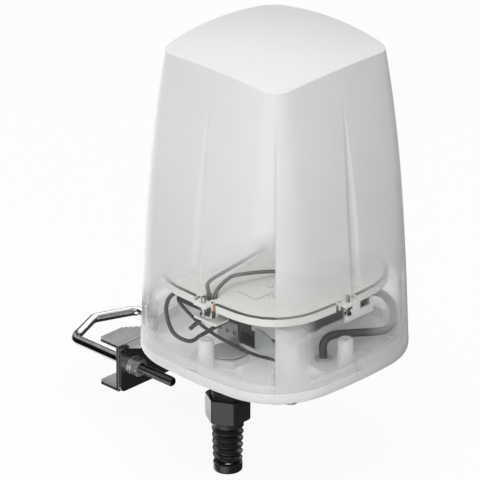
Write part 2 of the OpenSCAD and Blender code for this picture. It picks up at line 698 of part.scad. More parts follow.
// Pressure nut with its spiral bend protector, one moulding
module gland_nut() {
    color(gland_black) at_gland() {
        difference() {
            union() {
                translate([0, 0, -32.2]) rotate([0, 0, 30]) hex(gland_af, 14.8);
                translate([0, 0, -37]) cylinder(r = 9.4, h = 5);
            }
            translate([0, 0, -27.5]) cylinder(r = nut_bore_r, h = 20);
            translate([0, 0, -19.2]) cylinder(r1 = nut_bore_r, r2 = 11.4, h = 1.81);
            translate([0, 0, -40]) cylinder(r = sleeve_r, h = 20);
        }
        spiral_coil(z0 = -36.6, z1 = -61.4, r0 = 9.6, r1 = 8.8, turns = spiral_turns);
        translate([0, 0, -66.4]) difference() {
            cylinder(r = 8.7, h = 5.4);
            translate([0, 0, -1]) cylinder(r = sleeve_r, h = 8);
        }
    }
}

/* ---------------- mast clamp ---------------- */
bend_r = 1.5;                   // inner radius of the bracket's bend
bend_x = flange_x + bend_r;     // axis of the bend
bend_z = arm_low - bend_r;
bend_half = 34;                 // half length of the bend

module bracket_flange() {
    corner = 3.5;
    corner_y = clamp_half - corner;
    corner_z = clamp_low + corner;
    translate([jaw_x, 0, 0]) rotate([90, 0, 90]) linear_extrude(sheet) union() {
        translate([-clamp_half, corner_z]) square([2 * clamp_half, bend_z - corner_z]);
        translate([-corner_y, clamp_low]) square([2 * corner_y, 4]);
        for (side = [-1, 1]) translate([side * corner_y, corner_z]) circle(r = corner);
    }
}
module bracket_bend() {
    translate([bend_x, 0, bend_z]) rotate([90, 0, 0])
        translate([0, 0, -bend_half]) linear_extrude(2 * bend_half) intersection() {
            difference() {
                circle(r = bend_r + sheet);
                circle(r = bend_r);
            }
            translate([-10, 0]) square([10, 10]);
        }
}
// Arm under the base, narrowing away from the bend
module bracket_arm() {
    edge = [[bend_x, bend_half], [-88, bend_half], [-80.5, 26], [-76, 24.4],
            [-20, 21], [32, 21], [34, 19]];
    translate([0, 0, arm_low]) linear_extrude(sheet)
        polygon(concat(edge, mirrored_back(edge)));
}
module bracket() {
    color([0.62, 0.63, 0.65]) difference() {
        union() {
            bracket_flange();
            bracket_bend();
            bracket_arm();
        }
        at_legs() along_x(flange_x - 6) cylinder(r = bolt_r + 0.3, h = 12);
        at_corners(arm_screw[0], arm_screw[1])
            translate([0, 0, arm_z - 5]) cylinder(r = 2.2, h = 8);
    }
}
module bracket_screws() {
    color(screw_zinc) at_corners(arm_screw[0], arm_screw[1]) translate([0, 0, arm_low])
        difference() {
            union() {
                translate([0, 0, -3.4]) cylinder(r = 3.8, h = 2.6);
                translate([0, 0, -0.8]) cylinder(r = 4.6, h = 0.8);
                translate([0, 0, -0.8]) cylinder(r = 2, h = 13.6);
            }
            translate([0, 0, -3.5]) cylinder(d = 3.4, h = 1.8, $fn = 6);
        }
}
// Plan of the jaw plates: a toothed V opening towards -X
module jaw_plan() {
    reach = 17;     // depth of the jaw, and half width of the V's mouth
    chamfer = 2;
    v_depth = 13.3;
    tip_x = jaw_x - reach;
    flank = [for (i = [0:teeth - 1]) for (k = [0, 1]) let (t = (i + k * 0.5) / teeth)
        [tip_x + v_depth * t + (k == 0 ? 1.5 : -0.1),
         -reach + reach * t + (k == 0 ? 0.25 : 0.3)]];
    edge = concat([[jaw_x, -clamp_half], [tip_x + chamfer, -clamp_half],
        [tip_x, chamfer - clamp_half], [tip_x, -reach]], flank);
    polygon(concat(edge, [[tip_x + v_depth, 0]], mirrored_back(edge)));
}
module jaw() {
    jaw_top = -19.5;
    color([0.6, 0.61, 0.63]) difference() {
        union() {
            translate([jaw_x - sheet, -clamp_half, clamp_low])
                cube([sheet, 2 * clamp_half, jaw_top - clamp_low]);
            for (z = [jaw_top - sheet, clamp_low])
                translate([0, 0, z]) linear_extrude(sheet) jaw_plan();
        }
        at_legs() along_x(jaw_x - 20) cylinder(r = bolt_r + 0.3, h = 30);
    }
}
// horizontal arc at the height of the clamp centre
function clamp_arc(centre, r, from, to, steps) =
    [for (k = [0:steps]) let (a = mix(from, to, k / steps))
        [centre[0] + r * cos(a), centre[1] + r * sin(a), -clamp_drop]];
// V-ended bolt: two threaded legs and a bent shank between them
module v_bolt() {
    shank_r = bolt_r * 0.883;
    shoulder_x = -142.8;   // where leg and slope of the centre line cross
    apex_x = -153.8;       // where both slopes cross
    bend = 7;              // bend radius of the centre line
    slope = atan2(shoulder_x - apex_x, leg_y);
    turn = 90 - slope;
    apex_centre = apex_x + bend / cos(slope);
    half = concat([[-103.5, -leg_y, -clamp_drop]],
        clamp_arc([shoulder_x + bend * tan(turn / 2), -leg_y + bend], bend, 270, 270 - turn, 8),
        clamp_arc([apex_centre, 0], bend, 180 + slope, 180 + slope / 4, 3));
    path = concat(half, [[apex_centre - bend, 0, -clamp_drop]], mirrored_back(half));
    color([0.78, 0.79, 0.8]) {
        rod(path, shank_r, 24);
        at_legs() difference() {
            along_x(-104) cylinder(r = bolt_r, h = 46);
            // shallow groove round the leg
            along_x(-79.4) difference() {
                cylinder(r = 8, h = 0.8);
                translate([0, 0, -1]) cylinder(r = bolt_r - 0.25, h = 3);
            }
            // tapered end
            along_x(-58.6) difference() {
                cylinder(r = 8, h = 3);
                translate([0, 0, -1]) cylinder(r1 = bolt_r + 0.6, r2 = bolt_r - 1, h = 2.6);
            }
        }
    }
}

washer = 1.2;          // thickness of the flat washers
spring_washer = 1.5;   // and of the spring washers
module flat_washers() {
    color([0.8, 0.8, 0.82]) at_legs() along_x(flange_x) difference() {
        cylinder(r = 6, h = washer);
        translate([0, 0, -1]) cylinder(r = bolt_r + 0.2, h = 4);
    }
}
module spring_washers() {
    color([0.7, 0.7, 0.72]) at_legs() along_x(flange_x + washer) difference() {
        cylinder(r = 5.2, h = spring_washer);
        translate([0, 0, -1]) cylinder(r = bolt_r + 0.15, h = 4);
        rotate([0, 0, 30]) translate([0, -0.3, -1]) cube([8, 0.6, 4]);
    }
}
// Hexagon nut with both ends chamfered
module clamp_nut(side) {
    end_r = 5;
    corner_r = 5.8;
    color([0.74, 0.74, 0.76]) at_leg(side) along_x(flange_x + washer + spring_washer)
        intersection() {
            difference() {
                hex(10, 5);
                translate([0, 0, -1]) cylinder(r = bolt_r + clear, h = 8);
            }
            union() {
                cylinder(r1 = end_r, r2 = corner_r, h = 0.6);
                translate([0, 0, 0.6]) cylinder(r = corner_r, h = 3.8);
                translate([0, 0, 4.4]) cylinder(r1 = corner_r, r2 = end_r, h = 0.6);
            }
        }
}
module clamp_nut_near() { clamp_nut(-1); }
module clamp_nut_far() { clamp_nut(1); }

cover();
base();
base_gasket();
cover_screws();
lead_grommet();
carrier_plate();
ground_plane();
plate_pins();
plate_screws();
router_tray();
router_board();
board_spacers();
board_screws();
radio_module();
modem_box();
filter_box();
antenna_sockets();
service_flap();
antenna_board_a();
antenna_board_b();
antenna_board_c();
radiators();
flex_strips();
strip_contacts();
satnav_patch();
network_lead();
network_plug();
antenna_leads();
loop_lead();
cross_lead();
stub_lead();
gland_body();
gland_ring();
gland_locknut();
gland_cap();
gland_seal();
gland_nut();
bracket();
bracket_screws();
jaw();
v_bolt();
flat_washers();
spring_washers();
clamp_nut_near();
clamp_nut_far();
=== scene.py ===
import json
import math
from math import atan2, cos, hypot, pi, radians, sin

import bmesh
import bpy
from mathutils import Matrix, Vector


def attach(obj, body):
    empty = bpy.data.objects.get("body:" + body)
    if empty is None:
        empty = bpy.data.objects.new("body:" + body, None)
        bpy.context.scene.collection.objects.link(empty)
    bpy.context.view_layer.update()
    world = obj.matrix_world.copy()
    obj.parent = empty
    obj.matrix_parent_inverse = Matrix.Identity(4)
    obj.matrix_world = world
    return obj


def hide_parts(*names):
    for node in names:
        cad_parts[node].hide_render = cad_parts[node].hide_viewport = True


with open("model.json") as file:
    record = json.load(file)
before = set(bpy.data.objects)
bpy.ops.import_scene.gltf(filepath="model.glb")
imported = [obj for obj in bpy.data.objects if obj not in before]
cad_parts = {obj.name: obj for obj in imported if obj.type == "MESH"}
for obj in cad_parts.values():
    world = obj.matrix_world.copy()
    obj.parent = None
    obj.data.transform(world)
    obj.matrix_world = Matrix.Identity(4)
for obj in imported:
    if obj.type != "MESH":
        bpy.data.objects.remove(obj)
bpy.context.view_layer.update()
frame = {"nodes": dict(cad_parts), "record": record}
scene = bpy.context.scene
MM = 0.001
NODE_BODY = {node: body for body, nodes in frame["record"]["behaviour"]["bodies"].items()
             for node in nodes}
NODE_SLOT = {part["node"]: part["material_slot"] for part in frame["record"]["subparts"]}
CORNERS = [(side_x, side_y) for side_x in (-1, 1) for side_y in (-1, 1)]


# ------------------------------------------------------------------ shader node builders
class Graph:
    """Short ways to add shader nodes. A value is a number or another node's output."""

    def __init__(self, tree):
        self.tree = tree

    def new(self, kind):
        return self.tree.nodes.new("ShaderNode" + kind)

    def feed(self, socket, value):
        """Links an output to the socket, or sets the socket's own value."""
        if isinstance(value, bpy.types.NodeSocket):
            self.tree.links.new(value, socket)
        elif socket.type == "RGBA":
            socket.default_value = (*value, 1)
        else:
            socket.default_value = value

    def calc(self, operation, *values, clamp=False):
        node = self.new("Math")
        node.operation = operation
        node.use_clamp = clamp
        for socket, value in zip(node.inputs, values):
            self.feed(socket, value)
        return node.outputs[0]

    def fold(self, operation, first, *others):
        for other in others:
            first = self.calc(operation, first, other)
        return first

    def add(self, *values):
        return self.fold("ADD", *values)

    def multiply(self, *values):
        return self.fold("MULTIPLY", *values)

    def largest(self, *values):
        return self.fold("MAXIMUM", *values)

    def subtract(self, value, less):
        return self.calc("SUBTRACT", value, less)

    def invert(self, value):
        return self.calc("SUBTRACT", 1.0, value)

    def ramp(self, value, span, to=(0.0, 1.0), interpolation="SMOOTHSTEP"):
        """Carries the span of the value onto the range `to`."""
        node = self.new("MapRange")
        node.interpolation_type = interpolation
        for name, number in zip(("From Min", "From Max", "To Min", "To Max"), (*span, *to)):
            node.inputs[name].default_value = number
        self.feed(node.inputs["Value"], value)
        return node.outputs["Result"]


class Material(Graph):
    """A procedural material laid out in object space."""

    INPUTS = {"color": "Base Color", "rough": "Roughness", "metal": "Metallic",
              "normal": "Normal", "alpha": "Alpha", "spec": "Specular IOR Level",
              "glow_color": "Emission Color", "glow": "Emission Strength"}

    def __init__(self, name):
        self.material = bpy.data.materials.new(name)
        self.material.use_nodes = True
        super().__init__(self.material.node_tree)
        self.shader = self.tree.nodes["Principled BSDF"]
        self.coordinates = None

    def object_coordinates(self):
        if self.coordinates is None:
            self.coordinates = self.new("TexCoord").outputs["Object"]
        return self.coordinates

    def split(self, vector):
        node = self.new("SeparateXYZ")
        self.feed(node.inputs[0], vector)
        return node.outputs

    def position(self):
        return self.split(self.object_coordinates())

    def facing(self):
        """0 where the surface faces the viewer, 1 at its outline."""
        node = self.new("LayerWeight")
        node.inputs["Blend"].default_value = 0.5
        return node.outputs["Facing"]

    def mapped(self, name, value):
        """Object coordinates with one mapping input (Scale or Rotation) set."""
        node = self.new("Mapping")
        node.inputs[name].default_value = value
        self.feed(node.inputs["Vector"], self.object_coordinates())
        return node.outputs["Vector"]

    def noise(self, scale, detail=3.0, stretch=None):
        node = self.new("TexNoise")
        node.inputs["Scale"].default_value = scale
        node.inputs["Detail"].default_value = detail
        source = self.mapped("Scale", stretch) if stretch else self.object_coordinates()
        self.feed(node.inputs["Vector"], source)
        return node.outputs["Fac"]

    def mottle(self, noise, low=0.0, high=1.0):
        """The middle band of a noise, spread from low to high."""
        return self.ramp(noise, span=(0.3, 0.7), to=(low, high))

    def mix(self, factor, first, second):
        """Blend of two colours."""
        node = self.new("Mix")
        node.data_type = "RGBA"
        for index, value in ((0, factor), (6, first), (7, second)):
            self.feed(node.inputs[index], value)
        return node.outputs[2]

    def tint(self, noise, first, second):
        return self.mix(self.mottle(noise), first, second)

    def mottled_rough(self, drift, fine, low, high, ripple, clamp=False):
        """Roughness drifting from low to high, with a fine ripple either way."""
        return self.calc("ADD", self.ramp(drift, span=(0.25, 0.75), to=(low, high)),
                         self.mottle(fine, -ripple, ripple), clamp=clamp)

    def wavy(self, height, scale, amount):
        """A height disturbed by noise, so that a boundary drawn on it wanders."""
        noise = self.noise(scale, detail=2)
        return self.add(height, self.multiply(self.subtract(noise, 0.5), amount))

    def flipped(self, value, by):
        """The value, negated where the coordinate `by` is negative."""
        sign = self.ramp(by, span=(-0.001, 0.001), to=(-1.0, 1.0), interpolation="LINEAR")
        return self.multiply(value, sign)

    def bump(self, height, strength, distance=0.00015):
        node = self.new("Bump")
        node.inputs["Strength"].default_value = strength
        node.inputs["Distance"].default_value = distance
        self.feed(node.inputs["Height"], height)
        return node.outputs["Normal"]

    def mix_shader(self, factor, first, second):
        node = self.new("MixShader")
        for socket, value in zip(node.inputs, (factor, first, second)):
            self.feed(socket, value)
        return node.outputs[0]

    def finish(self, **inputs):
        for name, value in inputs.items():
            self.feed(self.shader.inputs[self.INPUTS[name]], value)
        return self.material


# ------------------------------------------------------------------ materials
def surface(name, color, rough, metal=0.0, vary=0.06, rough_vary=0.08, grain=900.0,
            grain_bump=0.15, patch=35.0, stretch=None, **inputs):
    """Plastic, rubber or metal: colour drift over patches, mottled roughness, fine grain."""
    m = Material(name)
    drift = m.noise(patch, detail=4.0)
    fine = m.noise(grain, detail=2.0, stretch=stretch)
    darker = [c * (1 - vary) for c in color]
    lighter = [min(1.0, c * (1 + vary)) for c in color]
    half = rough_vary / 2
    return m.finish(color=m.tint(drift, darker, lighter),
                    rough=m.mottled_rough(drift, fine, rough - half, rough + half, half,
                                          clamp=True),
                    metal=metal, normal=m.bump(fine, grain_bump), **inputs)


def cover_material():
    """Milky moulding: solid white above, thinning to nearly clear towards the foot."""
    m = Material("cover_milky")
    x, y, z = m.position()
    abs_x, abs_y = m.calc("ABSOLUTE", x), m.calc("ABSOLUTE", y)
    # 0 on the +-Y walls, 1 on the +-X walls
    x_wall = m.ramp(m.subtract(abs_x, abs_y), span=(-0.0014, -0.0010))
    level = m.wavy(z, scale=18, amount=0.006)

    # +-Y walls: the milkiness sets in along a slope; +-X walls: level and softer
    lean = 0.55
    slope = m.add(level, m.multiply(m.flipped(x, by=y), lean))
    milk_y = m.add(m.ramp(slope, span=(0.057, 0.079), to=(0.0, 0.55)),
                   m.ramp(slope, span=(0.068, 0.086), to=(0.0, 0.42)))
    milk_x = m.add(m.ramp(level, span=(0.046, 0.070), to=(0.0, 0.50)),
                   m.ramp(level, span=(0.060, 0.088), to=(0.0, 0.47)))
    milk = m.add(m.multiply(milk_y, m.invert(x_wall)), m.multiply(milk_x, x_wall))

    # thicker haze low on the corners of the +-X walls, a veil that thickens along those
    # walls, and haze at the foot
    corner = m.multiply(x_wall, m.ramp(abs_y, span=(0.028, 0.047), to=(0.0, 0.66)),
                        m.ramp(abs_y, span=(0.0615, 0.0555)),
                        m.ramp(level, span=(0.056, 0.044)))
    along = m.flipped(y, by=x)
    veil = m.multiply(x_wall, m.ramp(along, span=(0.002, 0.034), to=(0.0, 0.38)),
                      m.ramp(level, span=(0.016, 0.030)))
    foot = m.ramp(level, span=(0.010, 0.028), to=(0.42, 0.03))
    haze = m.largest(foot, corner, veil)
    full = 0.9999   # opacity stays just short of 1 so that its power is defined
    opacity = m.add(haze, m.multiply(milk, m.subtract(full, haze)))
    opacity = m.calc("MINIMUM", opacity, full)

    # a slanting view passes through more of the wall
    facing = m.facing()
    least_cosine, thickness = 0.16, 0.62
    cosine = m.largest(m.invert(facing), least_cosine)
    power = m.calc("DIVIDE", thickness, cosine)
    seen = m.calc("SUBTRACT", 1.0, m.calc("POWER", m.invert(opacity), power), clamp=True)
    # light reaches the inside through the whole moulding
    light_share = 0.22
    to_light = m.multiply(seen, light_share)
    camera_ray = m.new("LightPath").outputs["Is Camera Ray"]
    alpha = m.add(m.multiply(seen, camera_ray), m.multiply(to_light, m.invert(camera_ray)))

    fine, drift = m.noise(1400, detail=2), m.noise(14, detail=3)
    color = m.tint(drift, (0.765, 0.770, 0.775), (0.80, 0.803, 0.805))
    # a greyer line down the corners, and painted shade greying the walls towards the foot
    gap = m.subtract(abs_x, abs_y)
    line = m.multiply(m.ramp(gap, span=(-0.0026, -0.0016)), m.ramp(gap, span=(0.0002, -0.0008)),
                      m.ramp(z, span=(0.176, 0.150)))
    line_strength, line_grey, foot_shade_grey = 0.75, (0.64, 0.645, 0.65), (0.62, 0.625, 0.63)
    color = m.mix(m.multiply(line, line_strength), color, line_grey)
    color = m.mix(m.ramp(z, span=(0.03, 0.155), to=(0.42, 0.0)), color, foot_shade_grey)
    # painted highlight: the far edge of the moulding glows, standing in for light caught in it
    rim = m.multiply(m.ramp(facing, span=(0.74, 0.95)),
                     m.ramp(m.add(x, y), span=(0.045, 0.085)),
                     m.ramp(z, span=(0.045, 0.10)))
    rim_highlight_glow = 0.24
    return m.finish(glow_color=color, glow=m.multiply(rim, rim_highlight_glow), color=color,
                    rough=m.mottle(fine, low=0.34, high=0.46), alpha=alpha,
                    normal=m.bump(fine, strength=0.10, distance=0.0001), spec=0.35)


def base_material():
    """Satin moulding with a painted glow standing in for light soaked through it, and painted
    shade greying it towards +X +Y.
    """
    m = Material("base_satin")
    x, y, z = m.position()
    drift, fine = m.noise(22, detail=4), m.noise(1300, detail=2)
    color = m.tint(drift, (0.685, 0.69, 0.69), (0.725, 0.73, 0.73))
    # painted shade: greyer towards +X +Y
    away = m.ramp(m.add(x, y), span=(0.030, 0.100), to=(0.0, 0.85), interpolation="LINEAR")
    side_shade_grey = (0.47, 0.475, 0.48)
    color = m.mix(away, color, side_shade_grey)
    # painted light: a glow on the -Y half of the floor stands in for light carried there by the
    # clear foot of the cover
    reach = m.largest(m.calc("ABSOLUTE", x), m.calc("ABSOLUTE", y))
    carried_glow = m.multiply(m.ramp(reach, span=(0.056, 0.038), to=(0.0, 0.23)),
                      m.multiply(m.ramp(y, span=(-0.004, -0.022)),
                                 m.ramp(z, span=(0.002, 0.004))))
    # painted light: an even glow over the whole moulding stands in for light soaked through it
    even_painted_glow = 0.10
    return m.finish(glow_color=color, color=color,
                    rough=m.mottled_rough(drift, fine, low=0.38, high=0.46, ripple=0.04),
                    normal=m.bump(fine, strength=0.12), spec=0.35, glow=m.add(carried_glow, even_painted_glow))


def carrier_material():
    """Pale satin plastic with painted shade: a dark band round the rim, a dark deck and a dark
    underside.
    """
    m = Material("carrier_satin")
    normal_z = m.split(m.new("NewGeometry").outputs["True Normal"])[2]
    x, y, z = m.position()
    drift, fine = m.noise(26, detail=3), m.noise(1100, detail=2)
    color = m.tint(drift, (0.80, 0.80, 0.755), (0.83, 0.83, 0.79))
    # painted shade: a dark band round the rim for the shadow gap under the ground plane's edge,
    # the deck dark where the slots show it, and the underside dark
    rim = m.ramp(m.wavy(z, scale=40, amount=0.0006), span=(0.05010, 0.05040))
    deck_shade = m.multiply(m.ramp(normal_z, span=(0.6, 0.8)), m.ramp(z, span=(0.0495, 0.0497)))
    reach = m.largest(m.calc("ABSOLUTE", x), m.calc("ABSOLUTE", y))
    deck_shade = m.multiply(deck_shade, m.ramp(reach, span=(0.0562, 0.0558)))
    under_shade = m.ramp(normal_z, span=(-0.5, -0.8))
    under_share, shade_share, shade_color = 0.8, 0.96, (0.03, 0.03, 0.031)
    dark = m.calc("MAXIMUM", m.largest(rim, deck_shade), m.multiply(under_shade, under_share), clamp=True)
    color = m.mix(m.multiply(dark, shade_share), color, shade_color)
    return m.finish(color=color, rough=m.mottle(fine, low=0.46, high=0.54),
                    normal=m.bump(fine, strength=0.12))


def tray_material():
    """Dark coated upper band, pale lower shell, and a painted white glow on the +X wall towards
    +Y.
    """
    m = Material("tray_two_tone")
    x, y, z = m.position()
    drift, fine = m.noise(35, detail=4), m.noise(1200, detail=2)
    dark = m.tint(drift, (0.050, 0.052, 0.056), (0.075, 0.077, 0.082))
    pale = m.tint(drift, (0.50, 0.505, 0.505), (0.58, 0.585, 0.585))
    edge = m.wavy(z, scale=55, amount=0.006)
    band = m.ramp(edge, span=(0.0385, 0.0405))
    # the +X side wall is dark lower down; towards +Y it is painted white with a glow, painted
    # light standing in for the bright backdrop seen through the clear cover
    wall = (0.0425, 0.0440)
    outer = m.multiply(m.ramp(x, span=wall), m.ramp(y, span=(0.0125, 0.0105)))
    band = m.largest(band, m.multiply(outer, m.ramp(edge, span=(0.0285, 0.0305))))
    backdrop_patch = m.multiply(m.ramp(x, span=wall), m.ramp(y, span=(0.0115, 0.0135)))
    white, backdrop_glow = (0.80, 0.80, 0.80), 0.16
    color = m.mix(backdrop_patch, m.mix(band, pale, dark), white)
    return m.finish(glow_color=color, glow=m.multiply(backdrop_patch, backdrop_glow), color=color,
                    rough=m.mottled_rough(drift, fine, low=0.46, high=0.58, ripple=0.05),
                    normal=m.bump(fine, strength=0.3))


def board_material():
    """Green circuit board with lighter traces."""
    m = Material("board_green")
    base = (0.018, 0.085, 0.045)
    bricks = m.new("TexBrick")
    bricks.inputs["Scale"].default_value = 240.0
    bricks.inputs["Mortar Size"].default_value = 0.012
    m.feed(bricks.inputs["Vector"], m.mapped("Rotation", (0.7, 0.4, 0.6)))
    pattern = bricks.outputs["Fac"]
    traces = m.ramp(m.noise(120, detail=1), span=(0.52, 0.56))
    lighten, darken = 1.9, 0.7
    color = m.mix(m.multiply(pattern, traces), base, [c * lighten for c in base])
    color = m.mix(m.mottle(m.noise(30, detail=3), low=0, high=0.25), color,
                  [c * darken for c in base])
    return m.finish(color=color, rough=m.mottle(m.noise(400, detail=2), low=0.25, high=0.4),
                    normal=m.bump(pattern, strength=0.2, distance=0.0001))


def bolt_material():
    """Polished rod; the top of the -Y leg is painted dark, a painted reflection."""
    m = Material("bolt_polished")
    normal_z = m.split(m.new("NewGeometry").outputs["Normal"])[2]
    y = m.position()[1]
    drift = m.noise(60, detail=4)
    fine = m.noise(1200, detail=2, stretch=(0.05, 1, 1))
    color = m.tint(drift, (0.66, 0.665, 0.67), (0.74, 0.745, 0.75))
    # painted reflection: the top of the -Y leg darkened, standing in for a dark reflection
    painted_dark_top = m.multiply(m.ramp(y, span=(-0.0200, -0.0235)), m.ramp(normal_z, span=(-0.50, -0.12)),
                      m.ramp(m.noise(180, detail=3), span=(0.2, 0.6), to=(0.86, 0.97)))
    painted_dark_color = (0.10, 0.101, 0.104)
    return m.finish(color=m.mix(painted_dark_top, color, painted_dark_color), metal=1.0,
                    rough=m.mottled_rough(drift, fine, low=0.10, high=0.15, ripple=0.03),
                    normal=m.bump(fine, strength=0.02))


def sheath_material():
    """Soft cable sheath: a painted grey sheen along the middle where it faces the viewer,
    stronger on the leads up high, dark towards the sides.
    """
    m = Material("lead_sheath")
    z = m.position()[2]
    facing = m.facing()
    drift, fine = m.noise(35, detail=4), m.noise(1600, detail=2)
    side = m.tint(drift, (0.024, 0.025, 0.027), (0.032, 0.033, 0.035))
    # painted sheen: lighter where the sheath faces the viewer, lighter still on the leads above
    # z 48 mm
    low_sheen, high_sheen = (0.070, 0.071, 0.074), (0.20, 0.202, 0.205)
    sheen = m.mix(m.ramp(z, span=(0.048, 0.053)), low_sheen, high_sheen)
    sheen = m.mix(m.mottle(fine, low=0.0, high=0.12), sheen, side)
    return m.finish(color=m.mix(m.ramp(facing, span=(0.06, 0.42)), sheen, side),
                    rough=m.mottled_rough(drift, fine, low=0.32, high=0.40, ripple=0.04),
                    normal=m.bump(fine, strength=0.15))


def pin_material():
    """Turned pins: a painted highlight down the middle, painted shade on the flanks; the pin out
    at +X mostly painted shade.
    """
    m = Material("pin_turned")
    x, y, z = m.position()
    facing = m.facing()
    fine = m.noise(2000, detail=2, stretch=(1, 1, 0.1))
    # painted highlight and shade: light where the pins face the viewer, dark at their flanks and
    # over most of the pin out at +X
    flank_shade = m.ramp(facing, span=(0.10, 0.42))
    across_x, across_y = 0.714, 0.70    # horizontal direction the shading runs along
    across = m.add(m.multiply(x, across_x), m.multiply(y, across_y))
    shade = m.multiply(m.ramp(across, span=(0.0418, 0.0423)), m.ramp(x, span=(0.050, 0.052)))
    highlight_color, dark = (0.62, 0.625, 0.63), (0.035, 0.035, 0.037)
    return m.finish(color=m.mix(m.largest(flank_shade, shade), highlight_color, dark), metal=0.45,
                    rough=m.mottle(fine, low=0.20, high=0.30),
                    normal=m.bump(fine, strength=0.05, distance=0.0001))


MATERIALS = {
    "cover_plastic": cover_material(),
    "base_plastic": base_material(),
    "gasket_rubber": surface("gasket_silicone", (0.50, 0.505, 0.505), rough=0.6, grain=700,
                             grain_bump=0.3),
    "stainless": surface("stainless_turned", (0.66, 0.66, 0.67), rough=0.26, metal=0.72,
                         rough_vary=0.06, grain=2200, grain_bump=0.04, stretch=(1, 1, 0.1)),
    "carrier_plastic": carrier_material(),
    "ground_sheet": surface("ground_coated", (0.83, 0.83, 0.79), rough=0.42, vary=0.02,
                            grain=1500, grain_bump=0.10, patch=18),
    "tray_metal": tray_material(),
    "circuit_board": board_material(),
    "brass": surface("brass_turned", (0.75, 0.55, 0.27), rough=0.28, metal=1.0, vary=0.08,
                     grain=1800, grain_bump=0.1),
    "shield_can": surface("can_tinned", (0.50, 0.505, 0.51), rough=0.38, metal=1.0, vary=0.08,
                          grain=1000, rough_vary=0.15),
    "black_plastic": surface("black_moulded", (0.022, 0.022, 0.024), rough=0.42, vary=0.15,
                             grain=1300, grain_bump=0.25),
    "clear_plastic": surface("clear_sheet", (0.62, 0.64, 0.65), rough=0.18, vary=0.03,
                             grain_bump=0.05, alpha=0.45),
    "copper_foil": surface("copper_etched", (0.72, 0.36, 0.20), rough=0.3, metal=1.0, vary=0.12,
                           grain=1500, grain_bump=0.1),
    "ceramic": surface("ceramic_patch", (0.62, 0.55, 0.42), rough=0.6, grain=1500,
                       grain_bump=0.3),
    "lead_sheath": sheath_material(),
    "gland_nylon": surface("gland_nylon", (0.024, 0.024, 0.025), rough=0.34, vary=0.15,
                           grain=1500, grain_bump=0.22, rough_vary=0.1),
    "locknut_plastic": surface("locknut_nylon", (0.72, 0.72, 0.70), rough=0.45, vary=0.03,
                               grain=1200),
    "clamp_steel": surface("clamp_brushed", (0.37, 0.373, 0.38), rough=0.27, metal=1.0,
                           rough_vary=0.04, grain=500, grain_bump=0.012,
                           stretch=(1, 0.06, 1)),
    "bolt_steel": bolt_material(),
}


# ------------------------------------------------------------------ finished objects
def with_modifier(mesh, kind, **settings):
    """A copy of the mesh with one modifier applied."""
    holder = bpy.data.objects.new("holder", mesh)
    scene.collection.objects.link(holder)
    modifier = holder.modifiers.new("modifier", kind)
    for name, value in settings.items():
        setattr(modifier, name, value)
    graph = bpy.context.evaluated_depsgraph_get()
    result = bpy.data.meshes.new_from_object(holder.evaluated_get(graph))
    bpy.data.objects.remove(holder)
    return result


def cut_away(mesh, cutter_mesh):
    cutter = bpy.data.objects.new("cutter", cutter_mesh)
    scene.collection.objects.link(cutter)
    result = with_modifier(mesh, "BOOLEAN", operation="DIFFERENCE", object=cutter,
                           solver="EXACT")
    bpy.data.objects.remove(cutter)
    return result


def shade_smooth(mesh, sharp):
    """Smooth shading, broken at edges over `sharp` degrees."""
    mesh.polygons.foreach_set("use_smooth", [True] * len(mesh.polygons))
    mesh.set_sharp_from_angle(angle=radians(sharp))


def place(name, mesh, node):
    """Puts the mesh in the scene in place of a CAD node."""
    piece = bpy.data.objects.new(name, mesh)
    scene.collection.objects.link(piece)
    slot = NODE_SLOT[node]
    mesh.materials.clear()
    mesh.materials.append(MATERIALS[slot])
    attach(piece, NODE_BODY[node])
    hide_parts(node)
    return piece


def refine(node, width, angle=35, smooth=True):
    """A finished copy of a CAD node: welded, flat faces rejoined, and edges sharper than
    `angle` degrees rounded by `width` mm."""
    mesh = frame["nodes"][node].data.copy()
    bm = bmesh.new()
    bm.from_mesh(mesh)
    bmesh.ops.remove_doubles(bm, verts=bm.verts, dist=2e-6)
    bmesh.ops.dissolve_degenerate(bm, dist=1e-7, edges=bm.edges)
    bmesh.ops.dissolve_limit(bm, angle_limit=radians(0.6), verts=bm.verts, edges=bm.edges,
                             use_dissolve_boundaries=False)
    bm.to_mesh(mesh)
    bm.free()
    if mesh.has_custom_normals:
        mesh.attributes.remove(mesh.attributes["custom_normal"])
    mesh.materials.clear()
    mesh.polygons.foreach_set("use_smooth", [False] * len(mesh.polygons))
    if width:
        mesh = with_modifier(mesh, "BEVEL", width=width * MM, segments=2, limit_method="ANGLE",
                             angle_limit=radians(angle), use_clamp_overlap=True,
                             miter_outer="MITER_ARC")
    if smooth:
        # broad faces stay flat, only the rounded edges turn
        shade_smooth(mesh, sharp=50)
        mesh = with_modifier(mesh, "WEIGHTED_NORMAL", mode="FACE_AREA", weight=100,
                             thresh=0.01, keep_sharp=True)
    return place(node + "_finished", mesh, node)


# ------------------------------------------------------------------ shape helpers
def skin(rings, size, closed=False, offset=0):
    """Quads between rings of `size` points; closed joins the last ring to the first."""
    faces = []
    for j in range(rings if closed else rings - 1):
        k = (j + 1) % rings
        for i in range(size):
            m = (i + 1) % size
            faces.append((offset + j * size + i, offset + j * size + m,
                          offset + k * size + m, offset + k * size + i))
    return faces


def capped(rings, size):
    """Quads between rings, with a face over each end."""
    last = (rings - 1) * size
    ends = [tuple(range(size - 1, -1, -1)), tuple(last + i for i in range(size))]
    return skin(rings, size) + ends


def circle(radius, z, segments):
    """Points round the z axis. The radius may be a function of the angle."""
    points = []
    for i in range(segments):
        angle = 2 * pi * i / segments
        r = radius(angle) if callable(radius) else radius
        points.append((r * cos(angle), r * sin(angle), z))
    return points


def hexagon(flats, limit=math.inf):
    """Radius of a hexagon by angle, from its width across flats; the corners stop at limit."""
    def radius(angle):
        off_flat = (angle + pi / 6) % (pi / 3) - pi / 6
        return min(flats / 2 / cos(off_flat), limit)
    return radius


def at(x, y, z=0):
    return Matrix.Translation((x, y, z))


def turned(angle):
    return Matrix.Rotation(angle, 4, "Z")


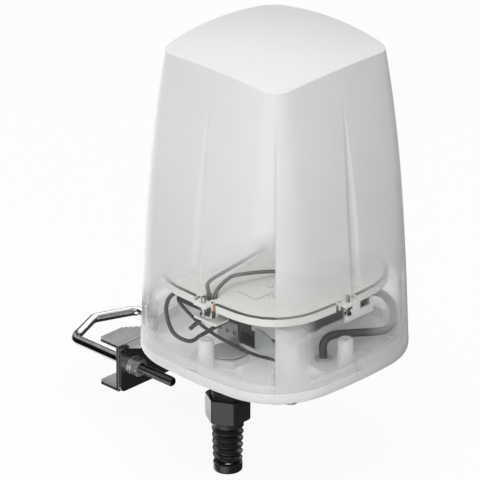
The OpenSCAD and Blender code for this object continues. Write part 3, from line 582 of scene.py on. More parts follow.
class Shape:
    """Collects closed shells, in millimetres, into one piece."""

    def __init__(self):
        self.points, self.faces = [], []

    def add(self, points, faces, matrix=None):
        offset = len(self.points)
        self.points += [tuple(matrix @ Vector(p)) if matrix is not None else tuple(p)
                        for p in points]
        self.faces += [tuple(i + offset for i in face) for face in faces]

    def lathe(self, profile, segments=72, matrix=None):
        """Turns a closed profile of (radius, z) round the z axis."""
        points = [p for radius, z in profile for p in circle(radius, z, segments)]
        self.add(points, skin(len(profile), segments, closed=True), matrix)

    def cylinder(self, radius, z0, z1, segments=72, matrix=None):
        points = circle(radius, z0, segments) + circle(radius, z1, segments)
        self.add(points, capped(2, segments), matrix)

    def box(self, low, high, matrix=None):
        plan = [(low[0], low[1]), (high[0], low[1]), (high[0], high[1]), (low[0], high[1])]
        self.add([(x, y, z) for z in (low[2], high[2]) for x, y in plan], capped(2, 4), matrix)

    def sweep(self, path, radius, sides):
        """A round rod along the path. The radius may be a function of the share travelled."""
        path = [Vector(p) for p in path]
        last = len(path) - 1
        tangents = [(path[min(i + 1, last)] - path[max(i - 1, 0)]).normalized()
                    for i in range(last + 1)]
        across = Vector((0, 0, 1)) if abs(tangents[0].z) < 0.9 else Vector((1, 0, 0))
        across = (across - across.dot(tangents[0]) * tangents[0]).normalized()
        points = []
        for i, (centre, tangent) in enumerate(zip(path, tangents)):
            across = (across - across.dot(tangent) * tangent).normalized()
            other = tangent.cross(across)
            r = radius(i / last) if callable(radius) else radius
            for k in range(sides):
                angle = 2 * pi * k / sides
                points.append(centre + r * (cos(angle) * across + sin(angle) * other))
        self.add(points, capped(last + 1, sides))

    def thread(self, matrix, z0, z1, radius, depth, pitch, segments, steps_per_turn, lead,
               bore=None):
        """A right-hand thread from z0 to z1, easing in over `lead` at each end."""
        steps = int((z1 - z0) / pitch * steps_per_turn)
        root = radius - depth
        end_relief = 0.25   # how far the ends dip below the root

        def radius_at(z, angle):
            phase = (z / pitch - angle / (2 * pi)) % 1.0
            crest = min(1.0, max(0.0, abs(2 * phase - 1) * 1.35 - 0.12))    # flattened wave
            cut = depth * (1 - crest)
            ease = max(0.0, min(1.0, (z - z0) / lead, (z1 - z) / lead))
            if ease >= 1:
                return radius - cut
            return root + (depth - cut) * ease - end_relief * (1 - ease)

        points = []
        for j in range(steps + 1):
            z = z0 + (z1 - z0) * j / steps
            points += circle(lambda angle: radius_at(z, angle), z, segments)
        if bore:
            points += circle(bore, z1, segments) + circle(bore, z0, segments)
            faces = skin(steps + 3, segments, closed=True)
        else:
            faces = capped(steps + 1, segments)
        self.add(points, faces, matrix)

    def mesh(self, name):
        mesh = bpy.data.meshes.new(name)
        mesh.from_pydata([(x * MM, y * MM, z * MM) for x, y, z in self.points], [], self.faces)
        bm = bmesh.new()
        bm.from_mesh(mesh)
        bmesh.ops.remove_doubles(bm, verts=bm.verts, dist=1e-7)
        bmesh.ops.dissolve_degenerate(bm, dist=1e-8, edges=bm.edges)
        bmesh.ops.recalc_face_normals(bm, faces=bm.faces)
        bm.to_mesh(mesh)
        bm.free()
        return mesh

    def build(self, name, node, sharp):
        mesh = self.mesh(name)
        shade_smooth(mesh, sharp)
        place(name, mesh, node)


# ------------------------------------------------------------------ the housing's plan outline
# The plan is a bowed square that narrows from the foot (z = 0) to the shoulder.
SHOULDER_Z = 192.4
FOOT_HALF, SHOULDER_HALF = 70.1, 51.6           # half the width across the sides
FOOT_CORNER, SHOULDER_CORNER = 44, 13.3         # corner radius
FOOT_BOW, SHOULDER_BOW = 347, 265               # radius of the bowed sides


def outline(half, corner, bow, groove=None, fine=True):
    """Bowed square with round corners. groove(s) is an inward push s mm from mid-side."""
    to_bow, to_corner = bow - half, bow - corner
    centre = (-to_bow + math.sqrt(2 * to_corner * to_corner - to_bow * to_bow)) / 2
    tangent = atan2(centre, centre - half + bow)
    side_steps, corner_steps = 10, 14
    # distances from mid-side, closely spaced where a groove may run
    stations = [0, .5, 1, 1.5, 2, 2.5, 3, 3.5, 4, 5] if fine else [0, 2.5, 5]
    side = []
    for s in stations:
        push = groove(s) if groove else 0
        side.append((half - bow + math.sqrt(bow * bow - s * s) - push, s))
    start = math.asin(stations[-1] / bow)
    for i in range(1, side_steps + 1):
        angle = start + (tangent - start) * i / side_steps
        side.append((half - bow + bow * cos(angle), bow * sin(angle)))
    arc = []
    for i in range(1, corner_steps):
        angle = tangent + (pi / 2 - 2 * tangent) * i / corner_steps
        arc.append((centre + corner * cos(angle), centre + corner * sin(angle)))
    quarter = side + arc + [(y, x) for x, y in reversed(side[1:])]
    return (quarter + [(-y, x) for x, y in quarter] + [(-x, -y) for x, y in quarter]
            + [(y, -x) for x, y in quarter])


def body_ring(z, inset=0.0, groove=None, fine=True):
    """The housing's plan outline at height z, moved inwards by the inset."""
    u = z / SHOULDER_Z
    narrowing = u * (0.7012 - 0.1401 * u + 0.4389 * u * u)     # 0 at the foot, 1 at the shoulder
    half = FOOT_HALF - (FOOT_HALF - SHOULDER_HALF) * narrowing
    corner = FOOT_CORNER + (SHOULDER_CORNER - FOOT_CORNER) * u
    bow = FOOT_BOW + (SHOULDER_BOW - FOOT_BOW) * u
    return outline(half - inset, corner - inset, bow - inset, groove, fine)


# ------------------------------------------------------------------ cover
COVER_WALL = 2.6
COVER_FOOT_Z = 8.05
ROOF_CURVE = 0.00189        # rise of the roof per square mm of radius
GROOVE_TOP = 180.0          # the mid-side grooves run out here
SCREW_XY = 51               # corner screws, from both axes

# (radius, z) of the blind screw bosses
COVER_BOSS = [(1.85, 11.65), (3.2, 11.65), (3.4, 11.9), (3.4, 26), (3.4, 29.2), (3.1, 29.6),
              (0.01, 29.6), (0.01, 21.6), (1.85, 21.6)]


def cover_groove(z):
    """The shallow groove down the middle of each side, wider and deeper towards the foot."""
    def grown(length):
        return max(0.0, min(1.0, (GROOVE_TOP - z) / length))
    half_width = 3.9 * grown(75) ** 0.8
    depth = 1.55 * grown(70) ** 0.9
    if half_width <= 0.05:
        return None
    return lambda s: depth * (1 - (s / half_width) ** 2) if s < half_width else 0.0


def build_cover():
    top = body_ring(SHOULDER_Z)
    size = len(top)
    reach = max(hypot(*p) for p in top)

    def roof(r):
        return SHOULDER_Z + ROOF_CURVE * (reach * reach - r * r)

    def dome(ring, scale, drop=0.0):
        return [(p[0] * scale, p[1] * scale, roof(hypot(p[0], p[1]) * scale) - drop)
                for p in ring]

    foot_round = 0.35
    levels = [COVER_FOOT_Z + foot_round, COVER_FOOT_Z + 0.8]
    levels += [10 + 3 * i for i in range(59)] + [185.5, 187.5, 189.5]
    foot = body_ring(COVER_FOOT_Z, foot_round, cover_groove(COVER_FOOT_Z))
    outer = [[(x, y, COVER_FOOT_Z) for x, y in foot]]
    for z in levels:
        outer.append([(x, y, z) for x, y in body_ring(z, 0, cover_groove(z))])
    crown = []
    for i, p in enumerate(top):
        z = roof(hypot(*p))
        crown.append((*body_ring(z)[i], z))
    # crease with a small round: (scale, drop), then the roof
    outer.append([(x, y, z - 0.5) for x, y, z in crown])
    for scale, drop in ((0.9988, 0.2), (0.9965, 0.06), (0.9925, 0.005)):
        outer.append(dome(crown, scale, drop))
    for scale in (0.97, 0.93, 0.87, 0.8, 0.7, 0.6, 0.5, 0.4, 0.3, 0.2, 0.1):
        outer.append(dome(crown, scale))
    points = [p for ring in outer for p in ring]
    faces = skin(len(outer), size)
    last, tip = (len(outer) - 1) * size, len(points)
    points.append((0, 0, roof(0)))
    faces += [(last + i, last + (i + 1) % size, tip) for i in range(size)]

    inner_levels = [COVER_FOOT_Z, COVER_FOOT_Z + 1.5, *range(20, 156, 15), 168, 178, 184, 187]
    inner = [[(x, y, z) for x, y in body_ring(z, COVER_WALL)] for z in inner_levels]
    ceiling = body_ring(SHOULDER_Z - COVER_WALL, COVER_WALL)
    ceiling_drop = COVER_WALL + 0.6
    inner.append(dome(ceiling, 1, COVER_WALL + 1.4))
    for scale in (0.96, 0.88, 0.7, 0.45, 0.2):
        inner.append(dome(ceiling, scale, ceiling_drop))
    start = len(points)
    points += [p for ring in inner for p in ring]
    faces += [tuple(reversed(face)) for face in skin(len(inner), size, offset=start)]
    last, tip = start + (len(inner) - 1) * size, len(points)
    points.append((0, 0, roof(0) - ceiling_drop))
    faces += [(last + (i + 1) % size, last + i, tip) for i in range(size)]
    # the foot joins the outer skin to the inner one
    faces += [(i, start + i, start + (i + 1) % size, (i + 1) % size) for i in range(size)]

    shape = Shape()
    shape.add(points, faces)
    # screw bosses with their webs
    for side_x, side_y in CORNERS:
        shape.lathe(COVER_BOSS, 32, at(side_x * SCREW_XY, side_y * SCREW_XY))
        shape.box((74.6, -0.9, 12.1), (77.0, 0.9, 27), turned(atan2(side_y, side_x)))
    shape.build("cover_shell", "cover", sharp=50)


build_cover()

# ------------------------------------------------------------------ base
GLAND_Y = -39.5
OUTLET_X = 40
GLAND_BORE, OUTLET_BORE = 10.2, 4.2
RIB_Z = 4.2                 # the ribs start inside the floor
SIDE_BOSS_X = 57.6
COLUMN_FOOT_Z = -18.0

# (z, inset) round the rim: rounded foot, outer wall, seam, grooves and lip, inner wall
RIM = [(0, 4.6), (0.12, 3.6), (0.45, 2.6), (0.95, 1.75), (1.7, 0.95), (2.6, 0.42),
       (3.6, 0.12), (4.8, 0.0), (7.6, 0.0), (7.88, 0.12), (8.0, 0.4), (8, 0.5), (7.0, 0.5),
       (7.0, 1.9), (8, 1.9), (8.0, 2.95), (11.1, 3.05), (11.4, 3.3), (11.4, 4.7), (11.1, 5.0),
       (6.6, 5.3), (5.6, 5.6), (5.05, 6.3), (4.4, 7.2), (1.4, 7.2), (0.3, 7.0), (0, 6.6)]
# (z, scale) of the floor slab, inset from the foot outline
FLOOR_INSET = 5.9
FLOOR_SLAB = [(2.2, 0.999), (2.2, 1.0), (4.95, 1.0), (5.0, 0.998)]

# profiles of (radius, z)
SCREW_SEAT = [(3.5, 0), (5.1, 0), (5.4, 0.3), (5.4, 6.6), (5.2, 6.8), (4.1, 6.8), (3.9, 7.0),
              (3.9, 11.1), (3.6, 11.4), (1.85, 11.4), (1.85, 2.4), (3.5, 2.4)]
SIDE_BOSS = [(0.01, 2.4), (5.6, 2.4), (6.4, 4.9), (5.6, 5.3), (5.0, 6.2), (4.75, 8),
             (4.6, 23.9), (4.35, 24.7), (4.0, 25), (1.9, 25), (1.5, 24.6), (1.5, 9), (0.01, 9)]
TRAY_PILLAR = [(0.01, 2.5), (6.9, 2.5), (7.6, 4.95), (6.7, 5.4), (6.2, 6.4), (6.0, 8),
               (5.9, 25.6), (5.6, 26.0), (1.55, 26.0), (1.55, 13), (0.01, 13)]
COLUMN = [(2.05, COLUMN_FOOT_Z), (5.2, COLUMN_FOOT_Z), (5.5, COLUMN_FOOT_Z + 0.3),
          (5.5, -0.2), (6.3, 2.6), (2.05, 2.6)]
GLAND_SEAT = [(GLAND_BORE, 0), (15.0, 0), (15.4, 0.4), (16.0, 2.6), (15.9, 4.95),
              (GLAND_BORE, 5.0)]
OUTLET_COLLAR = [(OUTLET_BORE, 1.0), (6.4, 1.0), (6.4, 4.9), (6.0, 5.3), (OUTLET_BORE, 5.3)]
# opposite corners of the ribs under the floor
UNDER_RIBS = [((-30, -15, -6), (30, -13, 3)), ((-30, 13, -6), (30, 15, 3)),
              ((-25, -15, -6), (-23, 15, 3)), ((23, -15, -6), (25, 15, 3))]


def base_floor():
    """The floor slab with its gland, outlet and corner screw holes."""
    slab = Shape()
    plan = body_ring(0, FLOOR_INSET, fine=False)
    slab.add([(x * scale, y * scale, z) for z, scale in FLOOR_SLAB for x, y in plan],
             capped(len(FLOOR_SLAB), len(plan)))
    slab_mesh = slab.mesh("floor")
    holes = Shape()
    z0, z1 = -3, 12
    holes.cylinder(GLAND_BORE, z0, z1, matrix=at(0, GLAND_Y))
    holes.cylinder(OUTLET_BORE, z0, z1, matrix=at(OUTLET_X, 0))
    for side_x, side_y in CORNERS:
        holes.cylinder(3.7, z0, z1, 40, at(side_x * SCREW_XY, side_y * SCREW_XY))
    return cut_away(slab_mesh, holes.mesh("cut"))


def build_base():
    shape = Shape()
    rings = [[(x, y, z) for x, y in body_ring(z, inset, fine=False)] for z, inset in RIM]
    shape.add([p for ring in rings for p in ring], skin(len(rings), len(rings[0]), closed=True))
    floor_mesh = base_floor()
    for side_x, side_y in CORNERS:
        shape.lathe(SCREW_SEAT, 48, at(side_x * SCREW_XY, side_y * SCREW_XY))
    # mid-side bosses, with ribs either side and one to each corner
    for quarter in range(4):
        angle = quarter * pi / 2
        shape.lathe(SIDE_BOSS, 48, turned(angle) @ at(SIDE_BOSS_X, 0))
        for y in (-17.0, 15.4):
            shape.box((44, y, RIB_Z), (64.2, y + 1.6, 8.8), turned(angle))
        shape.box((45, -0.8, RIB_Z), (68.4, 0.8, 8.4), turned(angle + pi / 4))
    # pillars under the router tray, and hollow columns below the floor
    for side_x, side_y in CORNERS:
        shape.lathe(TRAY_PILLAR, 56, at(side_x * 30, side_y * 20))
        shape.lathe(COLUMN, 48, at(side_x * 24, side_y * 14))
    shape.lathe(GLAND_SEAT, 72, at(0, GLAND_Y))
    shape.lathe(OUTLET_COLLAR, 48, at(OUTLET_X, 0))
    for low, high in UNDER_RIBS:
        shape.box(low, high)
    mesh = shape.mesh("base_a")
    bm = bmesh.new()
    bm.from_mesh(mesh)
    bm.from_mesh(floor_mesh)
    bm.to_mesh(mesh)
    bm.free()
    shade_smooth(mesh, sharp=38)
    place("base_moulding", mesh, "base")


build_base()

# ------------------------------------------------------------------ mast clamp
BOLT_Y, BOLT_Z = 27.0, -34.5        # the V-bolt's legs run along x at y = +-BOLT_Y
BOLT_RADIUS = 2.9
BOLT_BEND = 7.0                     # bend radius
BOLT_SHOULDER_X, BOLT_PEAK_X = -142.8, -153.8    # where the undrawn straight lines would meet

WASHER_X, WASHER_THICK = -92.0, 1.2
WASHER_RADIUS, WASHER_BORE = 6.0, 3.2
SPRING_X = -90.78
# (radius, distance from SPRING_X) of the spring washer's section
SPRING_SECTION = [(WASHER_BORE, 0), (5.0, 0), (5.2, 0.2), (5.2, 1.25), (5.0, 1.46),
                  (3.35, 1.46), (WASHER_BORE, 1.3)]
NUT_X, NUT_THICK, NUT_FLATS = -89.3, 5.0, 10.0


def bolt_axis(side, turn=0.0):
    """Carries the z axis onto a leg of the bolt, pointing to +X."""
    return at(0, side * BOLT_Y, BOLT_Z) @ Matrix.Rotation(pi / 2, 4, "Y") @ turned(turn)


def build_v_bolt():
    slope = atan2(BOLT_SHOULDER_X - BOLT_PEAK_X, BOLT_Y)
    turn = pi / 2 - slope

    def arc(x, y, start, end, steps):
        angles = [start + (end - start) * i / steps for i in range(steps + 1)]
        return [(x + BOLT_BEND * cos(a), y + BOLT_BEND * sin(a), BOLT_Z) for a in angles]

    # the -Y half: leg, shoulder bend, straight flank and half of the peak bend
    half = [(-103.6 - 3 * i, -BOLT_Y, BOLT_Z) for i in range(11)]
    half += arc(BOLT_SHOULDER_X + BOLT_BEND * math.tan(turn / 2), -BOLT_Y + BOLT_BEND,
                1.5 * pi, 1.5 * pi - turn, 16)
    peak_x = BOLT_PEAK_X + BOLT_BEND / cos(slope)
    peak = arc(peak_x, 0, pi + slope, pi, 6)
    start, end = half[-1], peak[0]
    half += [tuple(a + (b - a) * i / 6 for a, b in zip(start, end)) for i in range(1, 6)]
    half += peak
    shape = Shape()
    shape.sweep(half + [(x, -y, z) for x, y, z in reversed(half[:-1])], BOLT_RADIUS, sides=36)
    for side in (-1, 1):
        shape.thread(bolt_axis(side), -103.9, -58.05, radius=3.0, depth=0.42, pitch=1.0,
                     segments=36, steps_per_turn=8, lead=0.9)
    shape.build("v_bolt_rod", "v_bolt", sharp=48)


def build_flat_washers():
    radius, bore = WASHER_RADIUS, WASHER_BORE
    face, back = WASHER_X + 0.02, WASHER_X + WASHER_THICK
    profile = [(bore, face), (radius - 0.25, face), (radius, WASHER_X + 0.2),
               (radius, back - 0.3), (radius - 0.1, back - 0.12), (radius - 0.35, back),
               (bore + 0.15, back), (bore, back - 0.15)]
    shape = Shape()
    for side in (-1, 1):
        shape.lathe(profile, 72, bolt_axis(side))
    shape.build("washers_flat", "flat_washers", sharp=50)


def build_spring_washers():
    """Split rings: the section carried round, short of a full turn."""
    steps, gap = 60, 0.10
    points = []
    for i in range(steps + 1):
        angle = gap / 2 + (2 * pi - gap) * i / steps
        points += [(r * cos(angle), r * sin(angle), SPRING_X + x) for r, x in SPRING_SECTION]
    shape = Shape()
    for side in (-1, 1):
        shape.add(points, capped(steps + 1, len(SPRING_SECTION)), bolt_axis(side, turn=0.4))
    shape.build("washers_spring", "spring_washers", sharp=45)


def build_nut(node, side):
    """Hexagon nut, its corners rounded off towards both faces."""
    start, end = NUT_X, NUT_X + NUT_THICK
    # (radius, distance from the nearer face), from the face to the full hexagon
    chamfer = [(4.75, 0), (hexagon(NUT_FLATS, 5.35), 0.35), (hexagon(NUT_FLATS, 5.62), 0.8),
               (hexagon(NUT_FLATS), 1.35)]
    bore, countersink = 3.05, 3.35
    profile = [(bore, start + 0.5), (countersink, start)]
    profile += [(radius, start + x) for radius, x in chamfer]
    profile += [(radius, end - x) for radius, x in reversed(chamfer)]
    profile += [(countersink, end), (bore, end - 0.5)]
    shape = Shape()
    shape.lathe(profile, 96, bolt_axis(side))
    shape.build(node + "_hex", node, sharp=28)


build_v_bolt()
build_flat_washers()
build_spring_washers()
build_nut("clamp_nut_near", -1)
build_nut("clamp_nut_far", 1)
refine("jaw", 0.35, angle=40)
refine("bracket", 0.35, angle=40)

# ------------------------------------------------------------------ cable gland
GLAND_AXIS = at(0, GLAND_Y)
GLAND_FLATS = 24.0
LOCKNUT_FLATS = 22.5
GLAND_INNER = 6.6           # bore of the gland body
FIN_TURNS = 5.5
FIN_TOP, FIN_BOTTOM = -36.7, -60.6
FIN_RADIUS, FIN_TAPER = 9.6, 0.9     # rim radius at the top, and its loss by the bottom

# profiles of (radius, z)
PRESSURE_NUT = [
    (5.2, -37.0), (9.1, -37.0), (9.4, -36.7), (9.4, -33.2), (9.8, -32.5), (11.7, -32.2),
    (hexagon(GLAND_FLATS, 13.3), -32.1), (hexagon(GLAND_FLATS, 13.6), -31.8),
    (hexagon(GLAND_FLATS, 13.84), -31.3), (hexagon(GLAND_FLATS, 13.84), -18.1),
    (hexagon(GLAND_FLATS, 13.6), -17.7), (hexagon(GLAND_FLATS, 13.3), -17.45),
    (hexagon(GLAND_FLATS, 13.0), -17.4), (11.6, -17.4), (11.15, -17.6), (9.75, -19.1),
    (9.62, -19.5), (9.62, -27.4), (9.3, -27.5), (5.6, -27.5), (5.2, -27.9)]
END_COLLAR = [(5.2, -66.2), (5.4, -66.4), (8.2, -66.4), (8.6, -66.1), (8.75, -65.6),
              (8.75, -62.0), (8.6, -61.3), (8.2, -61.0), (5.6, -61.0), (5.2, -61.4)]
GLAND_FLANGE = [
    (GLAND_INNER, -8.0), (9.2, -8.0), (hexagon(GLAND_FLATS, 13.0), -7.9),
    (hexagon(GLAND_FLATS, 13.5), -7.4), (hexagon(GLAND_FLATS, 13.72), -6.9),
    (hexagon(GLAND_FLATS, 13.72), -2.6), (hexagon(GLAND_FLATS, 13.4), -2.1), (12.6, -2.0),
    (GLAND_INNER, -2.0)]
SEALING_RING = [(10.0, -1.98), (12.6, -1.98), (13.0, -1.6), (13.0, -0.4), (12.6, -0.02),
                (10.0, -0.02)]
LOCKNUT = [
    (10.0, 5.02), (10.9, 5.02), (hexagon(LOCKNUT_FLATS, 12.4), 5.2),
    (hexagon(LOCKNUT_FLATS, 12.8), 5.8), (hexagon(LOCKNUT_FLATS, 12.8), 9.2),
    (hexagon(LOCKNUT_FLATS, 12.4), 9.8), (10.9, 10.0), (10.3, 10.0), (10.0, 9.7)]
# (radius, height, share of the taper) of the spiral fin's section, thin towards its rim
FIN_SECTION = [(5.7, 2.12, 0), (6.7, 1.95, 0), (FIN_RADIUS - 1.5, 0.85, 1),
               (FIN_RADIUS, 0.24, 1), (FIN_RADIUS, -0.16, 1), (FIN_RADIUS - 1.5, -0.80, 1),
               (6.7, -1.90, 0), (5.7, -2.08, 0)]


def build_gland_nut():
    """Pressure nut, spiral fin and end collar in one moulding."""
    shape = Shape()
    shape.lathe(PRESSURE_NUT, 144, GLAND_AXIS)
    steps = int(48 * FIN_TURNS)
    points = []
    for i in range(steps + 1):
        t = i / steps
        angle = 2 * pi * FIN_TURNS * t
        z = FIN_TOP + (FIN_BOTTOM - FIN_TOP) * t
        for radius, height, share in FIN_SECTION:
            r = radius - FIN_TAPER * t * share
            points.append((r * cos(angle), r * sin(angle), z + height))
    shape.add(points, capped(steps + 1, len(FIN_SECTION)), GLAND_AXIS)
    shape.lathe(END_COLLAR, 72, GLAND_AXIS)
    shape.build("gland_nut_spiral", "gland_nut", sharp=40)


def build_gland_body():
    """Hexagon flange with a thread below and above it."""
    shape = Shape()
    shape.lathe(GLAND_FLANGE, 144, GLAND_AXIS)
    for z0, z1, radius in ((-20.5, -7.9, 9.5), (-2.1, 10.8, 9.95)):
        shape.thread(GLAND_AXIS, z0, z1, radius, depth=0.62, pitch=1.5, segments=72,
                     steps_per_turn=10, lead=1.0, bore=GLAND_INNER)
    shape.build("gland_body_threaded", "gland_body", sharp=45)


def build_gland_rings():
    """Sealing ring, locknut and the ribbed seal."""
    seal = [(4.5, -27.3), (4.8, -27.48), (6.2, -27.48), (6.55, -27.0)]
    for i in range(5):
        z = -25.8 + i * 2.0
        seal += [(6.55, z), (6.3, z + 0.5), (6.55, z + 1.0)]
    seal += [(6.55, -15.4), (6.2, -15.0), (4.9, -15.0), (4.5, -15.4)]
    # name, node, profile, segments, sharp angle
    for name, node, profile, segments, sharp in (
            ("gland_sealing_ring", "gland_ring", SEALING_RING, 96, 50),
            ("gland_locknut_hex", "gland_locknut", LOCKNUT, 144, 40),
            ("gland_seal_ribbed", "gland_seal", seal, 72, 50)):
        shape = Shape()
        shape.lathe(profile, segments, GLAND_AXIS)
        shape.build(name, node, sharp)


build_gland_nut()
build_gland_body()
build_gland_rings()

# ------------------------------------------------------------------ leads
# node: a list of (radius, points the lead passes through)
LEADS = {
    "network_lead": [
        (2.4, [(40, 0, 2.4), (40, 0, 5), (40, 0, 8), (38.6, 1.6, 15), (40.6, 7.3, 18.8),
               (49, 20.2, 18.8), (54.6, 28, 18.6), (57.6, 35.4, 18.9), (56, 43, 22.4),
               (56, 40.4, 33), (55, 34.4, 41), (50, 31.6, 42), (44, 30.6, 38.4),
               (40, 30, 36.9), (38, 30, 36.8)])],
    "antenna_leads": [
        (1.1, [(-3, -52.4, 37.2), (-2.8, -52.2, 44), (-2.6, -52, 50.4), (-5.7, -49.7, 57),
               (-7.9, -34.5, 58), (-13.4, -11.3, 56), (-20.7, 11.2, 54), (-26, 18, 53)]),
        (1.1, [(1.4, -52.6, 37.2), (1.6, -52.4, 44), (1.8, -52.2, 49), (0.3, -48.4, 54),
               (-1.1, -38.3, 57), (-0.9, -29.9, 57), (6.5, -7.9, 54), (22.6, 3.4, 53)])],
    "loop_lead": [
        (1.25, [(-31.5, -49, 43), (-31.8, -56.6, 40), (-32.9, -57.2, 30), (-29.2, -55, 18),
                (-23.1, -48.1, 12.4), (-18.7, -42.3, 16), (-13, -37.9, 21), (-8.2, -35, 25),
                (-4.6, -33.1, 27.8)])],
    "cross_lead": [
        (1.0, [(-24.5, -46.5, 43), (-26.4, -54, 41), (-15.7, -52.4, 32), (-6.7, -47.2, 24),
               (1.8, -41.3, 18), (14, -33, 11.6), (22, -29.6, 10.6), (29.5, -27.4, 10.6)])],
    "stub_lead": [
        (1.3, [(-11.8, -45.2, 35.4), (-14.6, -48, 29.1), (-19.1, -51.5, 23.1)])],
}


def smooth_path(stops, steps=10):
    """A Catmull-Rom curve through the stops."""
    stops = [Vector(p) for p in stops]
    q = [2 * stops[0] - stops[1]] + stops + [2 * stops[-1] - stops[-2]]
    path = []
    for i in range(1, len(q) - 2):
        for k in range(steps):
            t = k / steps
            path.append(0.5 * (2 * q[i] + (q[i + 1] - q[i - 1]) * t
                               + (2 * q[i - 1] - 5 * q[i] + 4 * q[i + 1] - q[i + 2]) * t * t
                               + (3 * q[i] - q[i - 1] - 3 * q[i + 1] + q[i + 2]) * t ** 3))
    return path + [stops[-1]]


def build_lead(node, runs):
    shape = Shape()
    for radius, stops in runs:
        path = smooth_path(stops)
        steps = len(path) - 1

        def eased(t):
            """The radius, a little smaller at both ends."""
            return radius * (1 - 0.12 * max(0.0, 1 - min(t, 1 - t) * steps * 0.8))

        shape.sweep(path, eased, sides=20)
    shape.build(node + "_run", node, sharp=60)


for lead_node, lead_runs in LEADS.items():
    build_lead(lead_node, lead_runs)

# ------------------------------------------------------------------ pieces finished from CAD
# node: width of the rounded edges
REFINED = {
    "base_gasket": 0, "cover_screws": 0.15, "lead_grommet": 0.25, "plate_pins": 0.2,
    "plate_screws": 0.12, "router_board": 0.1, "board_spacers": 0.1, "board_screws": 0.15,
    "radio_module": 0.2, "modem_box": 0.25, "filter_box": 0.25, "antenna_sockets": 0.15,
    "service_flap": 0.2, "antenna_board_a": 0.1, "antenna_board_b": 0.1,
    "antenna_board_c": 0.1, "radiators": 0, "satnav_patch": 0.3, "flex_strips": 0.08,
    "strip_contacts": 0.1, "gland_cap": 0.12, "network_plug": 0.25, "bracket_screws": 0.2,
}

refine("carrier_plate", 0.3)
refine("ground_plane", 0, smooth=False)
refine("router_tray", 0.25)
for refined_node, edge_width in REFINED.items():
    # a node the CAD frame doesn't hold is passed over
    if refined_node in frame["nodes"]:
        refined_piece = refine(refined_node, edge_width)
        if refined_node == "plate_pins":
            refined_piece.data.materials[0] = pin_material()

# ------------------------------------------------------------------ floor, light, camera
FLOOR_Z = -0.0672
FLOOR_HALF = 6.0

# (direction, cosine where it starts, cosine where it is full, strength) of the soft boxes
# that polished metal sees
SOFT_BOXES = [
    ((-0.93, 0.25, -0.27), 0.84, 0.97, 2.4), ((0.25, -0.90, -0.36), 0.78, 0.95, 1.6),
    ((-0.63, 0.135, 0.764), 0.81, 0.89, 2.1), ((-0.10, 0.87, 0.48), 0.89, 0.955, 2.0),
    ((0.25, 0.65, 0.70), 0.84, 0.96, 1.9), ((0.45, -0.35, 0.85), 0.80, 0.96, 0.9),
    ((-0.63, -0.15, -0.76), 0.90, 0.97, 1.4)]
ROOM_GLOSS = 0.035          # the dark room around the soft boxes
ROOM_DIFFUSE = 0.56
BRIGHT_SIDE = ((-0.4, -0.8, 0.6), -0.4, 0.9, 0.14)
SHADED_SIDE = ((0.75, 0.65, 0.1), 0.0, 0.9, 0.40)


def build_floor():
    """A pale floor, nearly pure white to the camera and clear from below."""
    mesh = bpy.data.meshes.new("floor")
    plan = ((-1, -1), (1, -1), (1, 1), (-1, 1))
    mesh.from_pydata([(x * FLOOR_HALF, y * FLOOR_HALF, FLOOR_Z) for x, y in plan], [],
                     [(0, 1, 2, 3)])
    floor = bpy.data.objects.new("floor", mesh)
    scene.collection.objects.link(floor)
    m = Material("floor_pale")
    m.finish(color=(0.86, 0.86, 0.86), rough=0.9, spec=0.1)
    white = m.new("Emission")
    m.feed(white.inputs["Color"], (1, 1, 1))
    m.feed(white.inputs["Strength"], 1.0)
    white_share = 0.93
    to_camera = m.multiply(m.new("LightPath").outputs["Is Camera Ray"], white_share)
    upper = m.mix_shader(to_camera, m.shader.outputs[0], white.outputs[0])
    both = m.mix_shader(m.new("NewGeometry").outputs["Backfacing"], upper,
                        m.new("BsdfTransparent").outputs[0])
    m.feed(m.tree.nodes["Material Output"].inputs["Surface"], both)
    mesh.materials.append(m.material)
    floor.visible_glossy = False


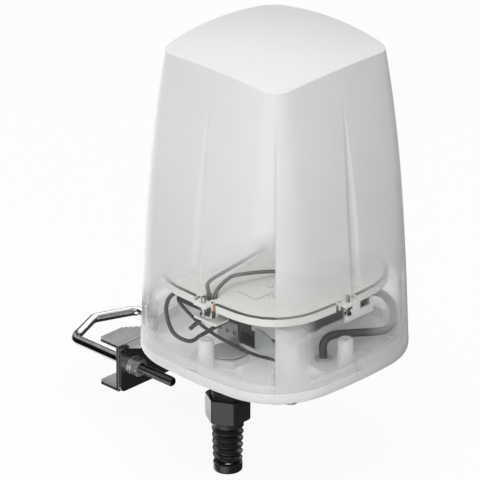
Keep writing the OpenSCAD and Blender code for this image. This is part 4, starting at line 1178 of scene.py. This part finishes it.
def build_world():
    """White to the camera, soft boxes to reflections, a soft gradient to everything else."""
    world = bpy.data.worlds.new("studio")
    scene.world = world
    world.use_nodes = True
    g = Graph(world.node_tree)
    coordinates = g.new("TexCoord").outputs["Generated"]
    path = g.new("LightPath")

    def lobe(direction, start, full, strength):
        dot = g.new("VectorMath")
        dot.operation = "DOT_PRODUCT"
        g.feed(dot.inputs[0], coordinates)
        dot.inputs[1].default_value = Vector(direction).normalized()
        return g.ramp(dot.outputs["Value"], span=(start, full), to=(0, strength))

    gloss = ROOM_GLOSS
    for box in SOFT_BOXES:
        gloss = g.add(lobe(*box), gloss)
    diffuse = g.subtract(g.add(lobe(*BRIGHT_SIDE), ROOM_DIFFUSE), lobe(*SHADED_SIDE))
    glossy_ray = path.outputs["Is Glossy Ray"]
    camera_ray = path.outputs["Is Camera Ray"]
    strength = g.add(g.multiply(gloss, glossy_ray), g.multiply(diffuse, g.invert(glossy_ray)))
    strength = g.add(g.multiply(strength, g.invert(camera_ray)), camera_ray)
    background = g.tree.nodes["Background"]
    g.feed(background.inputs["Strength"], strength)
    g.feed(background.inputs["Color"], (1, 1, 1))


def area_light(name, location, target, size, power, specular):
    """A square light aimed at the target, not seen by the camera or in reflections."""
    data = bpy.data.lights.new(name, "AREA")
    data.shape = "SQUARE"
    data.size = size
    data.energy = power
    data.specular_factor = specular
    light = bpy.data.objects.new(name, data)
    light.location = location
    light.rotation_mode = "QUATERNION"
    aim = Vector(target) - Vector(location)
    light.rotation_quaternion = aim.to_track_quat("-Z", "Y")
    light.visible_camera = False
    light.visible_glossy = False
    scene.collection.objects.link(light)


def build_camera():
    """A long lens looking down at the housing from +X -Y."""
    data = bpy.data.cameras.new("camera")
    data.sensor_width = 36.0
    data.lens = 493.35
    data.clip_start = 0.5
    data.clip_end = 20.0
    camera = bpy.data.objects.new("camera", data)
    scene.collection.objects.link(camera)
    azimuth, elevation = radians(44.4), radians(25.5)
    target = Vector((0, 0, 0.0962))
    distance, shift_right, shift_up = 3.848, -0.0204, -0.0240
    back = Vector((sin(azimuth) * cos(elevation), -cos(azimuth) * cos(elevation),
                   sin(elevation)))
    right = Vector((cos(azimuth), sin(azimuth), 0))
    up = back.cross(right)
    camera.location = target + back * distance + right * shift_right + up * shift_up
    camera.rotation_mode = "QUATERNION"
    camera.rotation_quaternion = Matrix((right, up, back)).transposed().to_quaternion()
    scene.camera = camera


build_floor()
build_world()
area_light("key", location=(-0.55, -1.5, 1.25), target=(0, 0, 0.08), size=1.1, power=2.0,
           specular=0.6)
area_light("top", location=(0.1, -0.1, 1.9), target=(0, 0, 0.1), size=1.4, power=14.5,
           specular=0.4)
area_light("front", location=(0.30, -0.27, 0.20), target=(0.02, -0.02, 0.12), size=0.22,
           power=0.36, specular=0.0)
build_camera()
scene.view_settings.view_transform = "Standard"
